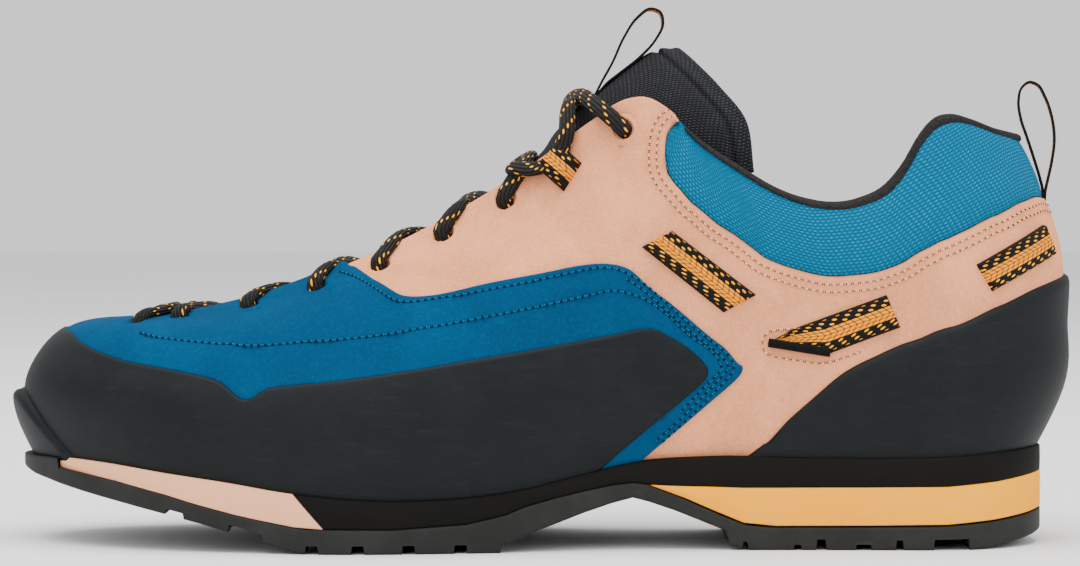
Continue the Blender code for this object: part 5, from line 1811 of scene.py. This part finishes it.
# u, v of the two long seams of the quarter, and of the edge round the ankle mesh
SEAM_LONG = ((0.867, 0.6919), (0.8449, 0.6608), (0.8163, 0.6454), (0.7895, 0.6339), (0.7709, 0.6158),
             (0.7228, 0.6048), (0.6945, 0.5889), (0.6528, 0.5696), (0.6158, 0.5557), (0.5822, 0.5356),
             (0.5235, 0.5101), (0.4677, 0.4931), (0.4423, 0.483), (0.4179, 0.447), (0.3946, 0.403),
             (0.3712, 0.353), (0.3513, 0.323), (0.3413, 0.28), (0.3468, 0.247), (0.379, 0.143))
SEAM_SHORT = ((0.669, 0.96), (0.6621, 0.897), (0.6543, 0.803), (0.6432, 0.723), (0.6277, 0.683),
              (0.5977, 0.657), (0.5816, 0.6425), (0.5264, 0.606), (0.4703, 0.5778),
              (0.4463, 0.5532), (0.4312, 0.523), (0.3957, 0.433), (0.3712, 0.383), (0.3524, 0.353),
              (0.3368, 0.32), (0.3302, 0.283), (0.3357, 0.243), (0.3668, 0.137), (0.396, 0.05))
# round the tip of the middle tape
SEAM_SLOT = ((0.2736, 0.483), (0.2935, 0.447), (0.3024, 0.417), (0.3046, 0.373), (0.298, 0.34),
             (0.2725, 0.335), (0.2469, 0.337), (0.2158, 0.403))


@dataclass(frozen=True)
class Slab:
    """A layer of the sole: closed sections across the foot with quarter-round edges."""

    piece: Piece
    # x, underside z, top z
    profile: tuple
    # u, reach beyond the upper's sole edge
    reach: tuple
    # how far the top leans past the underside at both ends, and over which length it fades
    lean: tuple = (0.0, 0.0)
    chamfer: float = 0.8
    bulge: float = 0.0
    fade: float = 14.0
    # sections for each millimetre of its length
    fine: float = 1.3
    # shares up the side, points of the underside and of the top
    side_rows: tuple = (0.15, 0.35, 0.5, 0.65, 0.85)
    under: int = 49
    over: int = 13

    def edge(self, side: Side) -> tuple[Array, Array]:
        """Plan curve of one side: the sole edge moved outwards along its normals.

        Args:
            side: side of the foot.

        Returns:
            Rising x, and y.
        """
        w = np.linspace(0, 1, 601)
        u = w if side is Side.LATERAL else np.minimum(2 - w, 1.99999)
        x, y = LAST.level(0, u)
        dx, dy = np.gradient(x), np.gradient(y)
        size = np.hypot(dx, dy)
        out = np.interp(w, *np.array(self.reach).T) * (1.0 if side is Side.LATERAL else -1.0)
        x, y = x - dy / size * out, y + dx / size * out
        order = np.argsort(x)
        return x[order], y[order]

    def cut(self, x: Array, y: Array, grooves: Sequence[tuple]) -> Array:
        """Depth of the grooves: soft steps at all four edges of each.

        Args:
            x: place along the foot.
            y: place across the foot.
            grooves: x0, x1, y0, y1 and depth of each.

        Returns:
            The deepest groove at each place.
        """
        depth = np.zeros_like(y)
        for x0, x1, y0, y1, deep in grooves:
            along = ease((x - x0 + 0.25) / 0.3) * ease((x1 + 0.25 - x) / 0.3)
            across = ease((y - y0 + 0.3) / 0.6) * ease((y1 + 0.3 - y) / 0.6)
            depth = np.maximum(depth, deep * along * across)
        return depth

    def build(self, material: bpy.types.Material, grooves: Sequence[tuple] = (),
              tread: Callable[[Array, Array], Array] = None, top: Callable[[Array], Array] = None) -> None:
        """Build the slab.

        A section runs over the underside, round the edge, up the inner side with its bulge,
        round the top edge, back over the top and down the outer side.

        Args:
            material: finish.
            grooves: x0, x1, y0, y1, depth cut into the underside.
            tread: further depth of the underside.
            top: height of the top as a function of x, instead of the table.
        """
        table = np.array(self.profile)
        first, last = table[0, 0], table[-1, 0]
        x = np.linspace(first, last, int((last - first) * self.fine))
        marks = [table[:, 0]]
        marks += [np.array([g[0] - 0.25, g[0] + 0.05, g[1] - 0.05, g[1] + 0.25]) for g in grooves]
        x = np.unique(np.round(np.concatenate([x, *marks]), 3))
        x = x[(x >= first) & (x <= last)]
        low = np.interp(x, table[:, 0], table[:, 1])
        fades = (first, first + self.fade, last - self.fade, last)
        tx = x + np.interp(x, fades, (self.lean[0], 0, 0, self.lean[1]))
        high = np.interp(x, table[:, 0], table[:, 2]) if top is None else top(tx)
        lateral, medial = self.edge(Side.LATERAL), self.edge(Side.MEDIAL)
        a, b = np.interp(x, *lateral), np.interp(x, *medial)
        at, bt = np.interp(tx, *lateral), np.interp(tx, *medial)
        c = np.minimum(self.chamfer, np.maximum((high - low) * 0.3, 0.05))
        c = np.minimum(c, (b - a) * 0.2)
        a, b, at, bt, low, high, c, x, tx = (q[:, None] for q in (a, b, at, bt, low, high, c, x, tx))
        share, back = np.linspace(0, 1, self.under), np.linspace(0, 1, self.over)[1:]
        turn = np.linspace(0, math.pi / 2, 5)
        up = np.array(self.side_rows)
        bow = self.bulge * np.sin(math.pi * up)
        y = np.concatenate([
            a + c + (b - a - 2 * c) * share,
            b - c + c * np.sin(turn[1:]), b + (bt - b) * up + bow, bt - c + c * np.cos(turn),
            (bt - c) + (at - bt + 2 * c) * back,
            at + c - c * np.sin(turn[1:]), at + (a - at) * up - bow, a + c - c * np.cos(turn[:-1])], axis=1)
        z = np.concatenate([
            low + 0 * share, low + c * (1 - np.cos(turn[1:])), low + c + (high - low - 2 * c) * up,
            high - c + c * np.sin(turn), high + 0 * back,
            high - c * (1 - np.cos(turn[1:])), high - c - (high - low - 2 * c) * up,
            low + c * (1 - np.sin(turn[:-1]))], axis=1)
        level = np.clip((z - low) / np.maximum(high - low, 0.01), 0, 1)
        xx = x * (1 - level) + tx * level
        cut = self.cut(x, y, grooves)
        if tread is not None:
            cut = np.maximum(cut, tread(xx, y))
        z = z + np.maximum(cut - (z - low), 0) * (level < 0.5)
        points = np.stack([xx, y, z], -1)
        points = np.concatenate([points, points[:, :1]], axis=1)
        uv = np.stack([points[..., 0], run_length(points, 1)], -1)
        self.piece.make(points, material, uv, wrap=(False, True), caps=True)


@dataclass(frozen=True)
class Sole:
    """Outsole, midsole, both wedges and the insole."""

    finishes: Finishes
    # u, reach beyond the upper's sole edge: of the foams, of the rubber, of the footbed
    reach: tuple = ((0.0, 2.6), (0.14, 2.8), (0.45, 2.6), (0.65, 3.0), (1.0, 3.0))
    rubber_reach: tuple = (
        (0.0, 2.6), (0.14, 2.8), (0.45, 2.6), (0.65, 3.0), (0.86, 3.0), (0.94, 5.0), (1.0, 8.3))
    bed_reach: tuple = ((0.0, -3.3), (1.0, -3.3))
    # x, underside z, top z of the rubber and of the yellow wedge
    rubber: tuple = (
        (-147.2, 21.0, 24.3), (-146.5, 20.7, 24.3), (-142.5, 19.3, 24.3), (-137.6, 18.2, 24.4),
        (-134.8, 17.5, 24.2), (-134.4, 17.4, 21.7), (-127.0, 15.7, 20.6), (-117.0, 13.5, 19.0),
        (-103.0, 10.4, 15.8), (-93.0, 8.0, 13.0), (-83.0, 5.2, 10.5), (-70.0, 1.6, 7.9),
        (-63.5, 0.0, 6.9), (-40.0, 0.0, 6.7), (-20.0, 0.0, 8.0), (-11.0, 0.0, 10.0),
        (-9.5, 1.8, 10.4), (-4.0, 4.6, 12.6), (4.0, 7.6, 14.8), (12.0, 10.6, 16.6),
        (20.0, 13.2, 18.2), (25.5, 14.6, 18.8), (30.0, 13.4, 18.2), (37.0, 11.0, 15.4),
        (45.0, 7.8, 11.8), (51.0, 5.4, 9.2), (52.4, 1.4, 8.6), (57.0, 0.0, 6.9),
        (65.0, 0.0, 6.3), (90.0, 0.0, 6.4), (110.0, 0.0, 6.6), (120.0, 0.2, 7.2),
        (130.0, 1.4, 8.2), (137.0, 2.8, 9.2), (141.2, 4.0, 9.9),
    )
    wedge: tuple = (
        (30.4, 18.02, 18.1), (35.5, 16.1, 17.85), (40.0, 14.4, 17.7), (48.0, 10.9, 17.5), (56.0, 7.6, 17.2),
        (65.0, 6.7, 17.2), (90.0, 6.8, 17.3), (112.0, 7.1, 17.5), (126.0, 8.2, 18.6),
        (136.0, 9.5, 19.9), (141.2, 10.3, 20.5),
    )
    # x0, x1 and depth of the grooves that run right across; how far they reach
    cross_grooves: tuple = (
        (-63.6, -60.4, 2.4), (-51.1, -47.9, 2.4), (-37.3, -34.1, 2.4), (-23.2, -20.0, 2.4),
        (-102.4, -97.6, 1.6), (-84.8, -75.6, 2.2), (-10.6, -9.6, 1.6), (55.9, 57.1, 2.2),
        (70.0, 71.8, 1.5), (76.2, 78.6, 3.0), (87.0, 91.0, 1.6), (98.0, 99.8, 2.8), (108.4, 118.0, 3.0))
    across: float = 60.0
    # x0, x1, y0, y1 and depth of those along the sole
    long_grooves: tuple = (
        (-75.0, -14.0, -18.0, -14.6, 2.0), (-75.0, -14.0, 13.6, 17.0, 2.0), (70.0, 124.0, -2.4, 2.4, 2.2))
    # x where the tan wedge takes over the rubber's top, from the toe back to its slanted end
    fore: tuple = (-134.1, -127.0, -117.0, -110.0, -103.0, -93.0, -83.0, -76.0, -67.0, -58.9)
    # x range of the rubber's own places and end of the black layer; how far both slanted ends lean
    layer: tuple = (-58.5, -58.0, 30.2, 141.0)
    slant: float = -8.4
    bed: tuple = (-134.0, 133.6, 4.4)
    # gap between the layers and the upper, and the wedges' softer edges: chamfer and bulge
    gap: float = 0.1
    soft: tuple = (0.5, 0.3)
    # x, lowest and highest y of the fine tread
    tread: tuple = (
        (-128.0, -14.0, 26.0), (-110.0, -26.0, 34.0), (-80.0, -33.0, 37.0), (-50.0, -33.0, 36.0),
        (-15.0, -27.0, 28.0), (54.0, -20.0, 20.0), (100.0, -22.0, 22.0), (128.0, -14.0, 14.0),
    )
    # x ranges that have lugs, spacing of the lugs, depth between them
    ground: tuple = ((-128, -15), (54, 128))
    spacing: float = 7.0
    tread_depth: float = 1.1

    def feather(self, x: Array) -> Array:
        """Height of the upper's sole edge at x."""
        return LAST.table(LAST.feather, 1, x)

    def lugs(self, x: Array, y: Array) -> Array:
        """Depth of the fine tread: round lugs in rows set half a step apart, away from the rim.

        Args:
            x: place along the foot.
            y: place across the foot.

        Returns:
            Depth at each place.
        """
        table = np.array(self.tread)
        p = x / self.spacing
        q = y / self.spacing + 0.5 * np.floor(p)
        far = np.hypot(p - np.floor(p) - 0.5, q - np.floor(q) - 0.5)
        ground = np.any([(x > first) & (x < last) for first, last in self.ground], axis=0)
        low, high = (np.interp(x, table[:, 0], table[:, k]) for k in (1, 2))
        inside = ground * ease((y - low) / 0.8) * ease((high - y) / 0.8)
        return self.tread_depth * ease((far - 0.36) / 0.08) * inside

    def build(self) -> None:
        """Build the sole from the rubber up."""
        f = self.finishes
        grooves = [(x0, x1, -self.across, self.across, depth) for x0, x1, depth in self.cross_grooves]
        Slab(Piece("sole_rubber", "outsole_rubber", ("outsole",)), self.rubber, self.rubber_reach).build(
            f.sole, (*grooves, *self.long_grooves), self.lugs)
        rubber, wedge = np.array(self.rubber), np.array(self.wedge)
        x = np.array(self.fore)
        low = np.interp(x, rubber[:, 0], rubber[:, 2])
        Slab(Piece("wedge_fore", "foam_tan", ("forefoot_wedge",)), tuple(zip(x, low, low)), self.reach,
             (0.0, self.slant), *self.soft).build(f.wedge, top=lambda t: self.feather(t) - self.gap)
        start, first, last, end = self.layer
        between = (rubber[:, 0] > first) & (rubber[:, 0] < last)
        x = np.concatenate([[start], rubber[between, 0], wedge[:-1, 0], [end]])
        low = np.maximum(np.interp(x, rubber[:, 0], rubber[:, 2]),
                         np.interp(x, wedge[:, 0], wedge[:, 2], left=-9.0))
        Slab(Piece("foam_layer", "foam_black", ("midsole",)), tuple(zip(x, low, low)), self.reach,
             (self.slant, 0.0), 0.9, 0.4).build(f.black, top=lambda t: self.feather(t) - self.gap)
        Slab(Piece("wedge_heel", "foam_yellow", ("heel_wedge",)), self.wedge, self.reach, (0.0, 0.0),
             *self.soft).build(f.yellow)
        first, last, thick = self.bed
        x = np.linspace(first, last, 60)
        low = self.feather(x) + self.gap
        Slab(Piece("footbed", "insole_felt", ("insole",)), tuple(zip(x, low, low + thick)), self.bed_reach,
             chamfer=1.2).build(f.felt)


@dataclass(frozen=True)
class Studio:
    """Pale floor, soft lights and the photo's camera."""

    finishes: Finishes
    half_floor: float = 6.0
    # name, place and aim in metres, side of the square, watts
    lamps: tuple = (
        ("light_top", (-0.1, -0.3, 1.6), (0.0, 0.0, 0.05), 1.6, 42.0),
        ("light_front", (-0.5, -1.6, 0.9), (0.0, 0.0, 0.06), 1.2, 9.0),
        ("light_side", (1.4, -0.7, 0.8), (0.0, 0.0, 0.06), 1.0, 7.0),
    )
    sky: float = 1.05
    # the photo's width and, in its pixels, the focal length, the horizon and the middle row
    photo_width: float = 1080.0
    focal: float = 3520.0
    horizon: float = 204.7
    middle: float = 283.0
    sensor: float = 36.0
    eye: tuple = (0.0, -1.0, 0.095)

    def stage(self, name: str, data: bpy.types.ID) -> bpy.types.Object:
        """Put one thing on the stage.

        Args:
            name: object name.
            data: its mesh, lamp or camera.

        Returns:
            The object.
        """
        thing = bpy.data.objects.new(name, data)
        bpy.context.scene.collection.objects.link(thing)
        return thing

    def floor(self) -> None:
        """Lay the floor."""
        mesh = bpy.data.meshes.new("studio_floor")
        h = self.half_floor
        mesh.from_pydata([(-h, -h, 0), (h, -h, 0), (h, h, 0), (-h, h, 0)], [], [(0, 1, 2, 3)])
        mesh.materials.append(self.finishes.floor)
        self.stage("studio_floor", mesh)

    def light(self, name: str, place: tuple, aim: tuple, size: float, power: float) -> None:
        """Hang an area light.

        Args:
            name: object name.
            place: where it hangs, metres.
            aim: point it looks at.
            size: side of the square.
            power: watts.
        """
        lamp = bpy.data.lights.new(name, "AREA")
        lamp.size = size
        lamp.energy = power
        way = np.array(aim) - np.array(place)
        thing = self.stage(name, lamp)
        thing.location = place
        thing.rotation_euler = (math.atan2(math.hypot(way[0], way[1]), -way[2]), 0.0,
                                math.atan2(way[0], -way[1]) + math.pi)

    def camera(self) -> None:
        """Set up the photo's camera."""
        lens = bpy.data.cameras.new("photo_camera")
        lens.lens = self.sensor * self.focal / self.photo_width
        lens.sensor_width = self.sensor
        lens.clip_start = 0.05
        lens.dof.use_dof = False
        thing = self.stage("photo_camera", lens)
        thing.location = self.eye
        thing.rotation_euler = (math.pi / 2 - math.atan2(self.middle - self.horizon, self.focal), 0.0, 0.0)
        bpy.context.scene.camera = thing

    def build(self) -> None:
        """Set the stage."""
        self.floor()
        for lamp in self.lamps:
            self.light(*lamp)
        world = bpy.data.worlds.new("studio")
        world.use_nodes = True
        sky = world.node_tree.nodes["Background"]
        sky.inputs["Color"].default_value = (1.0, 1.0, 1.0, 1.0)
        sky.inputs["Strength"].default_value = self.sky
        bpy.context.scene.world = world
        self.camera()


@dataclass(frozen=True)
class Seams:
    """All visible seams of both sides, and the dark piping at the middle tape's tip."""

    finishes: Finishes
    # distances of the two rows beside the ankle mesh, and how far round the ankle they go
    beside_mesh: tuple = (2.3, 4.4)
    round_ankle: float = 16.95
    # third row beside the short seam: its first place and its distance
    third: tuple = (10, -1.5)
    # heights of the threads over the base form
    tan_height: float = 0.1
    blue_height: float = 1.3
    # ends of the piping in the side view, its height and radius
    piping: tuple = ((62.6, 57.0), (79.6, 54.2))
    piping_height: float = 1.4
    piping_radius: float = 1.25

    def build(self) -> None:
        """Sew the seams; pipe lays the piping."""
        f = self.finishes
        places = np.linspace(-self.round_ankle, self.round_ankle, 240)
        ankle = np.stack(PATTERN.grid(places), -1)[:, sum(PATTERN.bands[:3])]
        tan, blue = [(ankle, offset, self.tan_height) for offset in self.beside_mesh], []
        start, offset = self.third
        for side in Side:
            turn = -1.0 if side is Side.MEDIAL else 1.0
            for seam, beside in ((SEAM_LONG, 0.0), (SEAM_SHORT, 0.0), (SEAM_SHORT[start:], offset)):
                blue.append((self.on(seam, side), turn * beside, self.blue_height))
            tan.append((self.on(SEAM_SLOT, side), 0.0, self.tan_height))
        sew = Stitching(f)
        sew.sew("stitches_tan", "tan_suede", tan, f.thread_tan)
        sew.sew("stitches_blue", "blue_suede", blue, f.thread_blue)

    def on(self, seam: tuple, side: Side) -> Array:
        """A seam's table on one side."""
        return np.array([(side.u(u), v) for u, v in seam])

    def pipe(self) -> None:
        """Lay the piping, a straight round cord in the side view."""
        for side in Side:
            u, v = LAST.locate(np.linspace(*self.piping, 40), side)
            Tube(Piece("piping_" + side.value, "webbing"), self.piping_radius, 12).build(
                LAST.over(u, v, np.full(40, self.piping_height)), self.finishes.hole)


class Shoe:
    """The whole shoe, built in order."""

    def __init__(self) -> None:
        """Make the finishes."""
        self.finishes = Finishes()

    def build(self) -> None:
        """Build everything."""
        f = self.finishes
        for part in (Upper, Bumper, Tongue, Sole):
            part(f).build()
        for ribbon in RIBBONS:
            for side in Side:
                ribbon.build(f.loop if ribbon.name == "tape_lace" else f.tape, side)
        for loop in LOOPS:
            loop.build(f.loop)
        seams = Seams(f)
        seams.pipe()
        Lace(f).build()
        Eyelets(f).build()
        seams.build()
        Studio(f).build()


def main() -> None:
    """Build the scene and report."""
    logging.basicConfig(level=logging.INFO, format="%(name)s: %(message)s")
    Shoe().build()
    LOG.info("pieces done")


if __name__ == "__main__":
    main()
